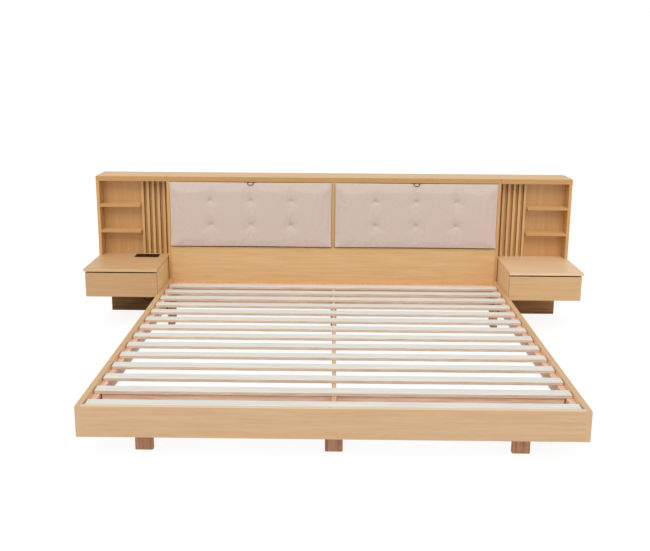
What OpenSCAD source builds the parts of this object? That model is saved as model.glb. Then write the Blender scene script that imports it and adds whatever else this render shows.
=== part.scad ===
// King-size floating bed: slatted base on set-back legs, storage headboard with two
// upholstered flaps, and two shelf towers that stand on hung nightstands with a drawer.
// Millimetres. The origin is on the floor under the middle of the bed's plan, with +Y
// towards the head and +Z up. Inside the modules Y = 0 is the headboard's front face.

/* [Bed base] */
// Width over the two side rails
bed_w = 1990; // [1500:10:2100]
// Length from the foot rail's outer face to the headboard's front face
bed_l = 2082; // [1900:2:2300]
// Thickness of the side rails and the foot rail
rail_t = 22; // [18:1:28]
// Height of the side rails and the foot rail
rail_h = 127; // [110:1:170]
// Clear height under the rails
rail_z = 105; // [90:1:180]
// Thickness of the ledgers that carry the slats' ends
ledger_t = 28; // [20:1:40]
// Height of the ledgers
ledger_h = 55; // [40:1:70]
// Depth of the ledger along the head end
head_ledger_d = 45; // [30:1:60]
// Thickness of the two cross boards
cross_t = 28; // [20:1:40]
// Height of the two cross boards
cross_h = 100; // [80:1:110]
// Clearance between a cross board's end and the ledger
cross_end_gap = 5; // [1:0.5:8]
// From the foot rail's outer face to the foot cross board's front
cross_foot_in = 207; // [160:1:300]
// From the headboard's face to the back of the head cross board
cross_head_in = 90; // [60:1:160]
// Width of the centre beam
beam_t = 18; // [15:1:40]
// Height of the centre beam
beam_h = 50; // [40:1:60]
// How far the centre beam stands right of the middle
beam_x = 6; // [0:1:20]

/* [Slats] */
// Number of slats
slat_n = 14; // [10:1:17]
// Width of a slat
slat_w = 60; // [45:1:80]
// Thickness of a slat
slat_t = 15; // [12:1:20]
// How far the slats' tops lie below the rails' tops
slat_drop = 10; // [6:1:16]
// Clearance between a slat's end and the rail
slat_end_gap = 5; // [2:0.5:8]
// From the headboard's face to the middle of the first slat
slat_head_in = 122; // [90:1:150]
// From the foot rail's inner face to the middle of the last slat
slat_foot_in = 52; // [42:1:70]
// How much the spacing grows from the head to the middle, and again to the foot
slat_spread = 6.5; // [0:0.5:16]

/* [Legs] */
// Width of a foot leg
foot_leg_w = 72; // [50:1:100]
// Thickness of a foot leg
foot_leg_d = 28; // [20:1:40]
// From a foot leg's front to the front of its cross board
foot_leg_out = 86; // [60:1:120]
// From the middle of the bed to the middle of an outer foot leg
foot_leg_x = 758; // [500:1:820]
// Thickness of a head leg
head_leg_t = 34; // [25:1:45]
// Depth of a head leg
head_leg_d = 112; // [80:1:160]
// From a side rail's inner face to the outer face of a head leg
head_leg_in = 7; // [4:1:20]
// Rounding of the legs' upright edges
leg_round = 5; // [2:0.5:10]

/* [Headboard] */
// Width of the middle unit, between the towers
unit_w = 1982; // [1500:2:2100]
// Depth of the headboard and the towers
head_d = 222; // [190:1:260]
// Height of the headboard and the towers
head_h = 852; // [820:1:1100]
// Thickness of the top boards
cap_t = 29; // [18:1:40]
// Thickness of the middle unit's sides
unit_side_t = 18; // [15:1:30]
// Thickness of the upright between the two flaps
divider_t = 18; // [15:1:30]
// Thickness of the lower front, the floor and the back of the compartments
panel_t = 15; // [12:1:20]
// Height of the sill that the flaps close on
sill_z = 430; // [410:1:480]

/* [Flaps] */
// Side clearance of a flap
flap_gap = 2.5; // [2:0.5:5]
// Clearance between a flap and the top board
flap_top_gap = 4; // [3:0.5:8]
// Thickness of a flap's wooden board
flap_t = 15; // [12:1:18]
// How far a cushion's crown stands in front of the headboard's face
crown_out = 22; // [14:1:30]
// Depth of a cushion behind the headboard's face
cushion_in = 18; // [14:1:24]
// How far a cushion's edges pull in between its corners
side_pull = 1.5; // [0:0.5:6]
// Depth of a sewn tuft
tuft_depth = 13; // [6:1:18]
// Reach of a sewn tuft
tuft_reach = 52; // [35:1:70]
// Outer diameter of a hinge knuckle
knuckle_d = 6; // [5:0.2:6.4]
// Diameter of a hinge pin
pin_d = 2.5; // [2:0.1:3]
// Running clearance round a hinge pin
pin_play = 0.08; // [0.05:0.01:0.1]
// Length of a hinge
hinge_l = 60; // [45:1:100]
// From a flap's end to the middle of its hinge
hinge_in = 60; // [40:1:150]
// Thickness of a hinge leaf
leaf_t = 1.4; // [1:0.1:1.8]
// Width of the strap that a flap is pulled by
strap_w = 6; // [4:0.5:9]
// Thickness of the strap
strap_t = 2; // [1.5:0.1:2.4]
// Width of the strap's loop
strap_loop_w = 38; // [30:1:50]
// Drop of the strap's loop below the flap's top edge
strap_drop = 13; // [11:1:20]

/* [Towers] */
// Width of a tower
tower_w = 418; // [360:1:520]
// Gap between a tower and the middle unit
tower_gap = 1; // [0.5:0.5:3]
// Thickness of a tower's outer side
tower_side_t = 18; // [15:1:25]
// Depth of the shelves in front of the tower's back
niche_d = 90; // [60:1:120]
// Number of upright ribs beside the shelves
rib_n = 5; // [2:1:5]
// Width of a rib
rib_w = 15; // [10:1:20]
// Gap between ribs
rib_gap = 17; // [10:1:22]
// Depth of a rib
rib_d = 24; // [12:1:40]
// Groove between the tower's inner edge and the first rib
rib_in = 21; // [10:1:30]
// Thickness of a shelf
shelf_t = 15; // [12:1:20]
// Number of shelves in a tower
shelf_n = 2; // [1:1:3]

/* [Nightstands] */
// Height of a nightstand's top
stand_h = 372; // [350:1:400]
// Height of a nightstand's underside
stand_z = 212; // [180:1:230]
// How far a nightstand stands in front of the headboard's face
stand_d = 370; // [320:1:450]
// Thickness of a nightstand's boards
stand_t = 15; // [12:1:18]
// How far the top reaches past the drawer's outer end
stand_lip = 9; // [2:1:12]
// Thickness of a drawer's front
front_t = 18; // [15:1:22]
// Finger gap over a drawer's front
finger_gap = 6; // [5:0.5:12]
// Clearance between a drawer's front and the side rail
front_gap = 1.5; // [1:0.5:3]
// Thickness of a drawer's sides
box_t = 12; // [9:1:15]
// Thickness of a drawer's bottom
box_floor_t = 6; // [3:1:9]
// Length of a drawer's box
box_l = 350; // [250:5:350]
// Clearance between a drawer's box and the power unit over it
box_room = 4; // [2:0.5:20]
// Height of a drawer's box over the nightstand's bottom
box_up = 8; // [4:1:12]
// Space for a runner on each side of a drawer's box
runner_space = 13; // [12:0.5:16]
// Height of a runner
runner_h = 36; // [25:1:45]
// From the plinth's outer end to the tower's outer side
plinth_in = 36; // [10:1:80]
// From the headboard's face to the plinth's front
plinth_back = 105; // [60:1:120]
// Thickness of the plinth's boards
plinth_t = 18; // [15:1:20]
// Diameter of the hole that the lead passes the plinth by
plinth_hole_d = 16; // [12:1:24]
// Diameter of the hole that the lead passes the nightstand by
stand_hole_d = 14; // [11:1:20]

/* [Power unit and lead] */
// Width of the power unit's flange
unit_flange_w = 142; // [130:1:170]
// Depth of the power unit's flange
unit_flange_d = 80; // [70:1:84]
// Thickness of the power unit's flange
unit_flange_t = 2.5; // [2:0.1:4]
// How far the power unit's body stays inside its flange
unit_inset = 5; // [3:0.5:8]
// Depth of the power unit below the nightstand's top
unit_depth = 33; // [28:1:35]
// Diameter of the lead
lead_d = 6; // [5:0.1:6.4]
// Length of the lead's strain relief
relief_l = 24; // [20:1:30]
// Radius of the strain relief's collar
relief_side = 8; // [6.5:0.5:10]
// Diameter of a socket's face
socket_d = 40; // [34:1:42]
// Depth of a socket's face below the flange
socket_recess = 1.5; // [0.8:0.1:3]
// Distance between the two pins of a socket and of the plug
pin_pitch = 19; // [17:0.5:21]
// Clearance between the coil's turns
coil_play = 0.6; // [0.5:0.1:1]
// Outer radius of the coil, at the lead's middle
coil_r = 38; // [36:0.2:39]
// Number of turns in the coil
coil_turns = 3.55; // [3.5:0.01:3.6]
// Length of the plug's body
plug_l = 36; // [30:1:45]
// Width of the plug's body
plug_w = 34; // [30:1:38]
// Thickness of the plug's body
plug_t = 16; // [14:0.5:18]

/* [Hidden] */
$fn = 48;
// Clearance between seated soft and hard pieces
seat = 0.3;

oak = [0.84, 0.66, 0.46];
oak_light = [0.87, 0.72, 0.54];
slat_white = [0.88, 0.87, 0.84];
red_wood = [0.67, 0.47, 0.39];
dark_wood = [0.34, 0.24, 0.15];
linen = [0.80, 0.72, 0.68];
strap_brown = [0.45, 0.33, 0.30];
steel = [0.70, 0.70, 0.72];
black = [0.08, 0.08, 0.09];

// Bed base, worked out
rail_top = rail_z + rail_h;
rail_in_x = bed_w / 2 - rail_t;
foot_in_y = -(bed_l - rail_t);
slat_top = rail_top - slat_drop;
ledger_top = slat_top - slat_t;
ledger_z = ledger_top - ledger_h;
ledger_x = rail_in_x - ledger_t;
cross_x = ledger_x - cross_end_gap;
cross_z = ledger_top - cross_h;
beam_z = ledger_top - beam_h;
cross_foot_y = -bed_l + cross_foot_in;
cross_head_y = -cross_head_in - cross_t;
lap_play = 0.5;

// Slats, worked out: the spacing grows evenly from head to foot
slat_mean = (bed_l - rail_t - slat_head_in - slat_foot_in) / (slat_n - 1);
slat_step = 2 * slat_spread / (slat_n - 2);
function slat_y(k) =
    -(slat_head_in + k * (slat_mean - slat_spread) + slat_step * k * (k - 1) / 2);

// Brackets
bracket_leg = 40;
bracket_t = 2.5;
bracket_h = 40;
bracket_hole = 5;

// Headboard, worked out
unit_x = unit_w / 2;
unit_in_x = unit_x - unit_side_t;
cap_z = head_h - cap_t;
back_y = head_d - panel_t;

// Flaps, worked out: the hinge line runs under the cushion's front edge
flap_x0 = divider_t / 2 + flap_gap;
flap_x1 = unit_in_x - flap_gap;
flap_mid = (flap_x0 + flap_x1) / 2;
flap_wide = flap_x1 - flap_x0;
axis_y = -knuckle_d / 2;
axis_z = sill_z + knuckle_d / 2;
flap_z = sill_z + knuckle_d;
flap_top = cap_z - flap_top_gap;
board_y = cushion_in + seat;
knuckle_gap = 0.4;
hinge_at = [flap_x0 + hinge_in, flap_x1 - hinge_in];
strap_y = -12;
catch_w = 40;
catch_d = 18;
catch_h = 14;
catch_in = 220;

// Towers, worked out
tower_x0 = unit_x + tower_gap;
tower_x1 = tower_x0 + tower_w;
tower_side_x = tower_x1 - tower_side_t;
shelf_x0 = tower_x0 + rib_in + rib_n * rib_w + (rib_n - 1) * rib_gap;
shelf_room = (cap_z - stand_h - shelf_n * shelf_t) / (shelf_n + 1);
function shelf_z(k) = stand_h + shelf_room * (k + 1) + shelf_t * k;

// Nightstands, worked out
stand_x0 = bed_w / 2;
stand_x1 = tower_x1 - stand_lip;
stand_top_z = stand_h - stand_t;
front_back_y = -stand_d + front_t;
case_y0 = front_back_y + seat;
box_back_y = front_back_y + box_l;
front_top = stand_top_z - finger_gap;
box_x0 = stand_x0 + stand_t + runner_space;
box_x1 = stand_x1 - stand_t - runner_space;
box_z = stand_z + stand_t + box_up;
box_h = stand_h - unit_depth - box_room - box_z;
runner_z = box_z + (box_h - runner_h) / 2;
runner_t = 6;
runner_wall = 1.5;
runner_lip = 4.5;
slide_t = 1.5;
slide_reach = 3;
slide_play = 0.4;
plinth_side_in = 15;
plinth_x0 = tower_x0 + plinth_side_in;
plinth_x1 = tower_x1 - plinth_in;

// Power unit, worked out: it sits in the left nightstand's top
power_x = -(tower_x0 + 127);
power_y = -2;
relief_x = power_x - 37;
relief_y = power_y + 30 - relief_side;
relief_z = stand_h - unit_depth - relief_l;

// The lead's route: straight down from the strain relief, a hanging loop, through the
// plinth and down behind it to the floor, where the rest lies in a coil
lead_r = lead_d / 2;
drop_y = 204;
floor_z = lead_r + 1;
lead_route = [
    [-1156, 20, 315], [-1156, 20, 298], [-1156, 20, 268], [-1156, 20, 238],
    [-1156, 20, 208], [-1156, 20, 178], [-1156, 20, 150], [-1156, 20, 130],
    [-1156, 20, 113], [-1152.4, 20, 99.5], [-1142.5, 20, 89.6], [-1129, 20, 86],
    [-1115.5, 20, 89.6], [-1105.6, 20, 99.5], [-1102, 20, 113], [-1102, 20, 133],
    [-1102, 20, 153], [-1102, 23.6, 166.5], [-1102, 33.5, 176.4], [-1102, 47, 180],
    [-1102, 64, 180], [-1102, 96, 180], [-1102, 128, 180], [-1102, 160, 180],
    [-1102, 177, 180], [-1102, 190.5, 176.4], [-1102, 200.4, 166.5], [-1102, 204, 153],
    [-1102, 204, 136], [-1102, 204, 107], [-1102, 204, 77], [-1102, 204, 48],
    [-1102, 204, 31], [-1105.6, 204, 17.5], [-1115.5, 204, 7.6], [-1129, 204, 4],
    [-1146, 204, 4], [-1164, 204, 4]
];
stand_hole = [-1156, 20];
plinth_hole = [-1102, 180];

// The coil: turns spiral in on the floor, climb one layer and spiral out on top
coil_x = -1172;
coil_y = drop_y - coil_r;
coil_pitch = lead_d + coil_play;
coil_mid = coil_turns / 2;
coil_climb = 0.25;
coil_rings = 24;
coil_last = round(coil_turns * coil_rings);
function coil_radius(s) = coil_r - coil_pitch * min(s, coil_turns - s);
function coil_lift(s) =
    let (t = max(-1, min(1, (s - coil_mid) / coil_climb))) coil_pitch * (1 + sin(90 * t)) / 2;
coil_points = [
    for (k = [0:coil_last]) let (s = k / coil_rings, a = 90 + 360 * s)
        [coil_x + coil_radius(s) * cos(a), coil_y + coil_radius(s) * sin(a),
         floor_z + coil_lift(s)]
];
// The coil's free end runs out straight and down to the plug
coil_end = coil_points[coil_last];
coil_end_a = 90 + 360 * coil_last / coil_rings;
tail_dir = [-sin(coil_end_a), cos(coil_end_a), 0];
tail_l = 40;
plug_z = plug_t / 2 + 0.2;
tail_drop = [0, 0, coil_end[2] - plug_z];
plug_at = coil_end + tail_l * tail_dir - tail_drop;
coil_path = [
    [coil_x + 8, drop_y, floor_z],
    each coil_points,
    coil_end + 0.35 * tail_l * tail_dir - 0.2 * tail_drop,
    coil_end + 0.6 * tail_l * tail_dir - 0.8 * tail_drop,
    coil_end + 0.8 * tail_l * tail_dir - tail_drop,
    plug_at
];

// Least gap of the coil to itself, between rings at least half a turn apart
coil_gaps = [
    for (a = [0:coil_last - 12], b = [a + 12:coil_last])
        norm(coil_points[a] - coil_points[b]) - lead_d
];
function total(v, k) = k < 0 ? 0 : v[k] + total(v, k - 1);
function path_length(p) =
    total([for (k = [1:len(p) - 1]) norm(p[k] - p[k - 1])], len(p) - 2);
echo("least gap of the coil to itself", min(coil_gaps));
echo("length of the lead", path_length(lead_route) + path_length(coil_path));

// Places the pieces so that the origin is under the middle of the plan
module placed() {
    translate([0, (bed_l - head_d) / 2, 0]) children();
}

// Mirrors a right-hand piece to the side s, -1 for left
module on_side(s) {
    mirror([s < 0 ? 1 : 0, 0, 0]) children();
}

// Block from its lowest to its highest corner
module block(a, b) {
    translate(a) cube(b - a);
}

// Rectangle of the size given with exact round corners, from the origin
module round_rect(w, h, r) {
    translate([r, 0]) square([w - 2 * r, h]);
    translate([0, r]) square([w, h - 2 * r]);
    for (x = [r, w - r], y = [r, h - r]) translate([x, y]) circle(r);
}

// Board from corner a to corner b with its long edges along X eased by r
module board_x(a, b, r) {
    translate(a) rotate([90, 0, 90])
        linear_extrude(b[0] - a[0]) round_rect(b[1] - a[1], b[2] - a[2], r);
}

// Board from corner a to corner b with its long edges along Y eased by r
module board_y(a, b, r) {
    translate([a[0], b[1], a[2]]) rotate([90, 0, 0])
        linear_extrude(b[1] - a[1]) round_rect(b[0] - a[0], b[2] - a[2], r);
}

// Board from corner a to corner b with its upright edges eased by r
module board_z(a, b, r) {
    translate(a) linear_extrude(b[2] - a[2]) round_rect(b[0] - a[0], b[1] - a[1], r);
}

rail_ease = 1.5;
panel_ease = 0.8;
timber_ease = 2.5;

module side_rail(s) {
    color(oak) placed() on_side(s)
        board_y([rail_in_x, -bed_l, rail_z], [bed_w / 2, 0, rail_top], rail_ease);
}

module foot_rail() {
    color(oak) placed()
        board_x([-rail_in_x, -bed_l, rail_z], [rail_in_x, foot_in_y, rail_top], rail_ease);
}

// Cross board with its front face at y, notched for the beam that lies flush in it
module cross_board(y) {
    difference() {
        board_x([-cross_x, y, cross_z], [cross_x, y + cross_t, ledger_top], timber_ease);
        block([beam_x - beam_t / 2 - lap_play, y - 1, beam_z],
            [beam_x + beam_t / 2 + lap_play, y + cross_t + 1, ledger_top + 1]);
    }
}

module foot_cross_board() {
    color(red_wood) placed() cross_board(cross_foot_y);
}

module head_cross_board() {
    color(red_wood) placed() cross_board(cross_head_y);
}

module centre_beam() {
    color(slat_white) placed()
        board_y([beam_x - beam_t / 2, foot_in_y, beam_z],
            [beam_x + beam_t / 2, -head_ledger_d, ledger_top], timber_ease);
}

// Ledgers along the side rails and the headboard
module ledgers() {
    color(red_wood) placed() {
        for (s = [-1, 1]) on_side(s)
            board_y([ledger_x, foot_in_y, ledger_z], [rail_in_x, 0, ledger_top], timber_ease);
        board_x([-ledger_x, -head_ledger_d, ledger_z], [ledger_x, 0, ledger_top], timber_ease);
    }
}

// Flat leg in front of the foot cross board, with an arm that reaches back to it
module foot_leg(x) {
    front = cross_foot_y - foot_leg_out;
    color(red_wood) placed() {
        board_z([x - foot_leg_w / 2, front, 0],
            [x + foot_leg_w / 2, front + foot_leg_d, beam_z], leg_round);
        block([x - foot_leg_w / 2, front + foot_leg_d - leg_round, cross_z],
            [x + foot_leg_w / 2, cross_foot_y, beam_z]);
    }
}

// Narrow leg in front of the head cross board, with its inner face at x, up to z_top
module head_leg(x, z_top) {
    color(red_wood) placed()
        board_z([x, cross_head_y - head_leg_d, 0], [x + head_leg_t, cross_head_y, z_top],
            leg_round);
}

module slats() {
    color(slat_white) placed()
        for (k = [0:slat_n - 1])
            board_x([-rail_in_x + slat_end_gap, slat_y(k) - slat_w / 2, ledger_top],
                [rail_in_x - slat_end_gap, slat_y(k) + slat_w / 2, slat_top], timber_ease);
}

// Steel angle with a hole in each leaf, its corner at the origin, leaves along +X and +Y
module bracket() {
    difference() {
        union() {
            cube([bracket_leg, bracket_t, bracket_h]);
            cube([bracket_t, bracket_leg, bracket_h]);
        }
        translate([bracket_leg * 0.6, -1, bracket_h / 2]) rotate([-90, 0, 0])
            cylinder(d = bracket_hole, h = bracket_t + 2);
        translate([-1, bracket_leg * 0.6, bracket_h / 2]) rotate([0, 90, 0])
            cylinder(d = bracket_hole, h = bracket_t + 2);
    }
}

// Angles in the base's corners under the ledgers, and behind the cross boards' ends
module corner_brackets() {
    low = rail_z + 4;
    color(steel) placed() for (s = [-1, 1]) on_side(s) {
        translate([rail_in_x, foot_in_y, low]) mirror([1, 0, 0]) bracket();
        translate([rail_in_x, 0, low]) rotate([0, 0, 180]) bracket();
        translate([ledger_x, cross_foot_y + cross_t, ledger_z + 6]) mirror([1, 0, 0])
            bracket();
        translate([ledger_x, cross_head_y, ledger_z + 6]) rotate([0, 0, 180]) bracket();
    }
}

module headboard_side(s) {
    color(oak) placed() on_side(s)
        board_z([unit_in_x, 0, rail_z], [unit_x, head_d, cap_z], panel_ease);
}

module headboard_cap() {
    color(oak_light) placed()
        board_x([-unit_x, 0, cap_z], [unit_x, head_d, head_h], panel_ease);
}

module headboard_divider() {
    color(oak) placed()
        board_z([-divider_t / 2, 0, sill_z], [divider_t / 2, back_y, cap_z], panel_ease);
}

module headboard_back() {
    color(oak) placed() block([-unit_in_x, back_y, rail_z], [unit_in_x, head_d, cap_z]);
}

// Floor of the two compartments, behind the lower front
module headboard_floor() {
    color(oak) placed()
        block([-unit_in_x, panel_t, sill_z - panel_t], [unit_in_x, back_y, sill_z]);
}

module headboard_lower_panel() {
    color(oak) placed()
        board_x([-unit_in_x, 0, rail_z], [unit_in_x, panel_t, sill_z], panel_ease);
}

// Wooden board behind a cushion, carried by the hinge leaves under its lower edge
module flap_board(s) {
    color(oak) placed() on_side(s)
        board_z([flap_x0, board_y, flap_z], [flap_x1, board_y + flap_t, flap_top], panel_ease);
}

// Crowned cushion with drawn-in sides and six sewn tufts
cushion_w = flap_wide;
cushion_h = flap_top - flap_z - 2 * seat;
cushion_edge_y = 2;
// Shares of the width and the height at the edges and at the tufts
across = [0, 0.25, 0.5, 0.75, 1];
upward = [0, 0.34, 0.72, 1];
tuft_at = [
    for (i = [1:len(across) - 2], j = [1:len(upward) - 2])
        [across[i] * cushion_w, upward[j] * cushion_h]
];
// Grid shares between the stops, n to each, drawn closer together at the stops
function grid_shares(stops, n) = [
    for (k = [0:len(stops) - 2], i = [0:n - 1])
        stops[k] + (stops[k + 1] - stops[k]) * (i / n - 0.07 * sin(360 * i / n)),
    stops[len(stops) - 1]
];
grid_u = grid_shares(across, 10);
grid_v = grid_shares(upward, 6);
cushion_nx = len(grid_u) - 1;
cushion_nz = len(grid_v) - 1;
// Share of the crown at a point d from an edge, over a reach r
function rise(d, r) = pow(1 - pow(1 - min(1, d / r), 2.4), 0.6);
function pull(t) = side_pull * pow(sin(180 * t), 0.8);
function dimple(x, z) =
    min(1, max([for (p = tuft_at) exp(-pow(norm([x - p[0], z - p[1]]) / tuft_reach, 2) * 2.6)]));
function front_y(x, z) =
    let (d = min(min(x, cushion_w - x) / 90, min(z, cushion_h - z) / 80))
    -(crown_out + cushion_edge_y) * rise(d, 1) + tuft_depth * dimple(x, z)
    + cushion_edge_y;
cushion_front = [
    for (v = grid_v, u = grid_u)
        [u * cushion_w + (1 - 2 * u) * pull(v), front_y(u * cushion_w, v * cushion_h),
         v * cushion_h + (1 - 2 * v) * pull(u)]
];
cushion_rim = [
    each [for (i = [0:cushion_nx - 1]) i],
    each [for (j = [0:cushion_nz - 1]) cushion_nx + j * (cushion_nx + 1)],
    each [for (i = [0:cushion_nx - 1]) (cushion_nz + 1) * (cushion_nx + 1) - 1 - i],
    each [for (j = [0:cushion_nz - 1]) (cushion_nz - j) * (cushion_nx + 1)]
];
rim_n = len(cushion_rim);
front_n = len(cushion_front);
cushion_points = [
    each cushion_front,
    each [for (k = cushion_rim) [cushion_front[k][0], cushion_in, cushion_front[k][2]]],
    [cushion_w / 2, cushion_in, cushion_h / 2]
];
cushion_faces = [
    each [for (j = [0:cushion_nz - 1], i = [0:cushion_nx - 1])
        let (a = j * (cushion_nx + 1) + i, b = a + 1, c = b + cushion_nx + 1,
            d = a + cushion_nx + 1)
        each [[a, c, b], [a, d, c]]],
    each [for (k = [0:rim_n - 1])
        let (a = cushion_rim[k], b = cushion_rim[(k + 1) % rim_n], c = front_n + k,
            d = front_n + (k + 1) % rim_n)
        each [[a, d, c], [a, b, d], [c, d, front_n + rim_n]]]
];

module cushion(s) {
    color(linen) placed() on_side(s)
        translate([flap_x0, 0, flap_z + seat]) polyhedron(cushion_points, cushion_faces);
}

// Strap with two tails over the cushion's top edge and a loop that hangs in front of it
module pull_strap(s) {
    half = strap_loop_w / 2;
    top = flap_top + strap_t;
    drop = strap_drop + strap_t;
    color(strap_brown) placed() on_side(s) {
        translate([flap_mid, strap_y, top]) rotate([90, 0, 0]) linear_extrude(strap_w)
            difference() {
                half_ring(half, drop);
                half_ring(half - strap_t, drop - strap_t);
            }
        for (x = [flap_mid - half, flap_mid + half - strap_w])
            block([x, strap_y - strap_w, flap_top],
                [x + strap_w, board_y + strap_w, top]);
    }
}

// Half of a flattened ring below the X axis, r wide on each side and h deep
module half_ring(r, h) {
    intersection() {
        union() {
            for (x = [h - r, r - h]) translate([x, 0]) circle(h);
            translate([h - r, -h]) square([2 * (r - h), h]);
        }
        translate([-r, -h]) square([2 * r, h]);
    }
}

// Hinge knuckles: two on the sill's leaf hold the pin, one turns on it between them
module flap_hinges() {
    third = hinge_l / 3;
    color(steel) placed() for (s = [-1, 1]) on_side(s) for (x = hinge_at) {
        for (k = [-1, 1])
            translate([x + k * third - third / 2, axis_y, axis_z]) rotate([0, 90, 0])
                cylinder(d = knuckle_d, h = third);
        translate([x - hinge_l / 2, axis_y, axis_z]) rotate([0, 90, 0])
            cylinder(d = pin_d, h = hinge_l);
        difference() {
            block([x - hinge_l / 2, axis_y, sill_z],
                [x + hinge_l / 2, board_y + flap_t, sill_z + leaf_t]);
            block([x - third / 2 - knuckle_gap, axis_y - knuckle_d, sill_z - 1],
                [x + third / 2 + knuckle_gap, knuckle_gap, sill_z + leaf_t + 1]);
        }
    }
}

module hinge_leaves(s) {
    third = hinge_l / 3;
    color(steel) placed() on_side(s) for (x = hinge_at) difference() {
        union() {
            translate([x - third / 2 + knuckle_gap, axis_y, axis_z]) rotate([0, 90, 0])
                cylinder(d = knuckle_d, h = third - 2 * knuckle_gap);
            block([x - third / 2 + knuckle_gap, axis_y, flap_z - leaf_t],
                [x + third / 2 - knuckle_gap, board_y, flap_z]);
            block([x - hinge_l / 2, knuckle_gap + 0.6, flap_z - leaf_t],
                [x + hinge_l / 2, board_y + flap_t, flap_z]);
        }
        translate([x - hinge_l / 2, axis_y, axis_z]) rotate([0, 90, 0])
            cylinder(d = pin_d + 2 * pin_play, h = hinge_l);
    }
}

// Magnet catches under the top board, which stop the flap boards and hold them shut
module magnet_catches() {
    y = board_y + flap_t + seat;
    color(black) placed() for (s = [-1, 1]) on_side(s)
        for (x = [flap_x0 + catch_in, flap_x1 - catch_in])
            board_z([x - catch_w / 2, y, cap_z - catch_h], [x + catch_w / 2, y + catch_d, cap_z],
                1.5);
}

module tower_cap(s) {
    color(oak_light) placed() on_side(s)
        board_x([tower_x0, 0, cap_z], [tower_x1, head_d, head_h], panel_ease);
}

module tower_side(s) {
    color(oak) placed() on_side(s)
        board_z([tower_side_x, 0, stand_h], [tower_x1, head_d, cap_z], panel_ease);
}

module tower_back(s) {
    color(oak) placed() on_side(s)
        block([tower_x0, niche_d, stand_h], [tower_side_x, niche_d + panel_t, cap_z]);
}

// Upright ribs that stand on the tower's back
module tower_ribs(s) {
    color(oak) placed() on_side(s)
        for (k = [0:rib_n - 1]) {
            x = tower_x0 + rib_in + k * (rib_w + rib_gap);
            board_z([x, niche_d - rib_d, stand_h], [x + rib_w, niche_d, cap_z], panel_ease);
        }
}

// Shelves between the last rib and the tower's side
module shelves(s) {
    color(oak_light) placed() on_side(s)
        for (k = [0:shelf_n - 1])
            board_x([shelf_x0, 0, shelf_z(k)], [tower_side_x, niche_d, shelf_z(k) + shelf_t],
                panel_ease);
}

// Top that runs back under the tower, cut out for the power unit on the left
module nightstand_top(s) {
    color(oak_light) placed() difference() {
        on_side(s)
            board_x([stand_x0, -stand_d, stand_top_z], [tower_x1, head_d, stand_h],
                panel_ease);
        if (s < 0)
            translate([power_x, power_y, stand_top_z - 1])
                power_body(stand_t + 2, seat);
    }
}

// Two sides, a bottom and a back; on the left the bottom has a hole for the lead
module nightstand_case(s) {
    color(oak) placed() difference() {
        on_side(s) {
            block([stand_x0, case_y0, stand_z], [stand_x0 + stand_t, head_d, stand_top_z]);
            block([stand_x1 - stand_t, case_y0, stand_z], [stand_x1, head_d, stand_top_z]);
            block([stand_x0, case_y0, stand_z], [stand_x1, head_d, stand_z + stand_t]);
            block([stand_x0, back_y, stand_z], [stand_x1, head_d, stand_top_z]);
        }
        if (s < 0)
            translate([stand_hole[0], stand_hole[1], stand_z - 1])
                cylinder(d = stand_hole_d, h = stand_t + 2);
    }
}

module drawer_front(s) {
    color(oak) placed() on_side(s)
        board_x([stand_x0 + front_gap, -stand_d, stand_z], [stand_x1, front_back_y, front_top],
            panel_ease);
}

// Open drawer box with its bottom let in between the four walls
module drawer_box(s) {
    color(oak_light) placed() on_side(s) difference() {
        block([box_x0, front_back_y, box_z], [box_x1, box_back_y, box_z + box_h]);
        block([box_x0 + box_t, front_back_y + box_t, box_z + box_floor_t],
            [box_x1 - box_t, box_back_y - box_t, box_z + box_h + 1]);
    }
}

// Channels on the nightstands' sides that the drawers' slides run in
module drawer_runners() {
    color(steel) placed() for (s = [-1, 1]) on_side(s) {
        translate([stand_x0 + stand_t, 0, 0]) runner();
        translate([stand_x1 - stand_t, 0, 0]) mirror([1, 0, 0]) runner();
    }
}

// Channel with its back on X = 0 and its mouth towards +X between two lips
module runner() {
    top = runner_z + runner_h;
    difference() {
        block([0, case_y0, runner_z], [runner_t, box_back_y, top]);
        block([runner_wall, case_y0 - 1, runner_z + runner_wall],
            [runner_t - runner_wall, box_back_y + 1, top - runner_wall]);
        block([runner_wall, case_y0 - 1, runner_z + runner_lip],
            [runner_t + 1, box_back_y + 1, top - runner_lip]);
    }
}

// Slides on the drawer box: a plate, and a bar that runs between the channel's lips
module drawer_slides(s) {
    color(steel) placed() on_side(s) {
        translate([box_x0, 0, 0]) mirror([1, 0, 0]) slide();
        translate([box_x1, 0, 0]) slide();
    }
}

module slide() {
    low = runner_z + runner_lip + slide_play;
    high = runner_z + runner_h - runner_lip - slide_play;
    end = box_back_y - runner_t;
    block([0, front_back_y, runner_z], [slide_t, end, runner_z + runner_h]);
    block([0, case_y0 + slide_play, low],
        [runner_space - runner_t + slide_reach, end, high]);
}

// Recessed plinth: a front board and two returns, with a hole for the lead on the left
module plinth(s) {
    color(dark_wood) placed() difference() {
        on_side(s) {
            block([plinth_x0, plinth_back, 0], [plinth_x1, plinth_back + plinth_t, stand_z]);
            for (x = [plinth_x0, plinth_x1 - plinth_t])
                block([x, plinth_back, 0], [x + plinth_t, head_d, stand_z]);
        }
        if (s < 0)
            translate([plinth_hole[0], plinth_back - 1, plinth_hole[1]]) rotate([-90, 0, 0])
                cylinder(d = plinth_hole_d, h = plinth_t + 2);
    }
}

// Round-cornered body of the power unit, h tall, grown all round by play
module power_body(h, play) {
    w = unit_flange_w - 2 * unit_inset + 2 * play;
    d = unit_flange_d - 2 * unit_inset + 2 * play;
    translate([-w / 2, -d / 2, 0]) linear_extrude(h) round_rect(w, d, 5);
}

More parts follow.
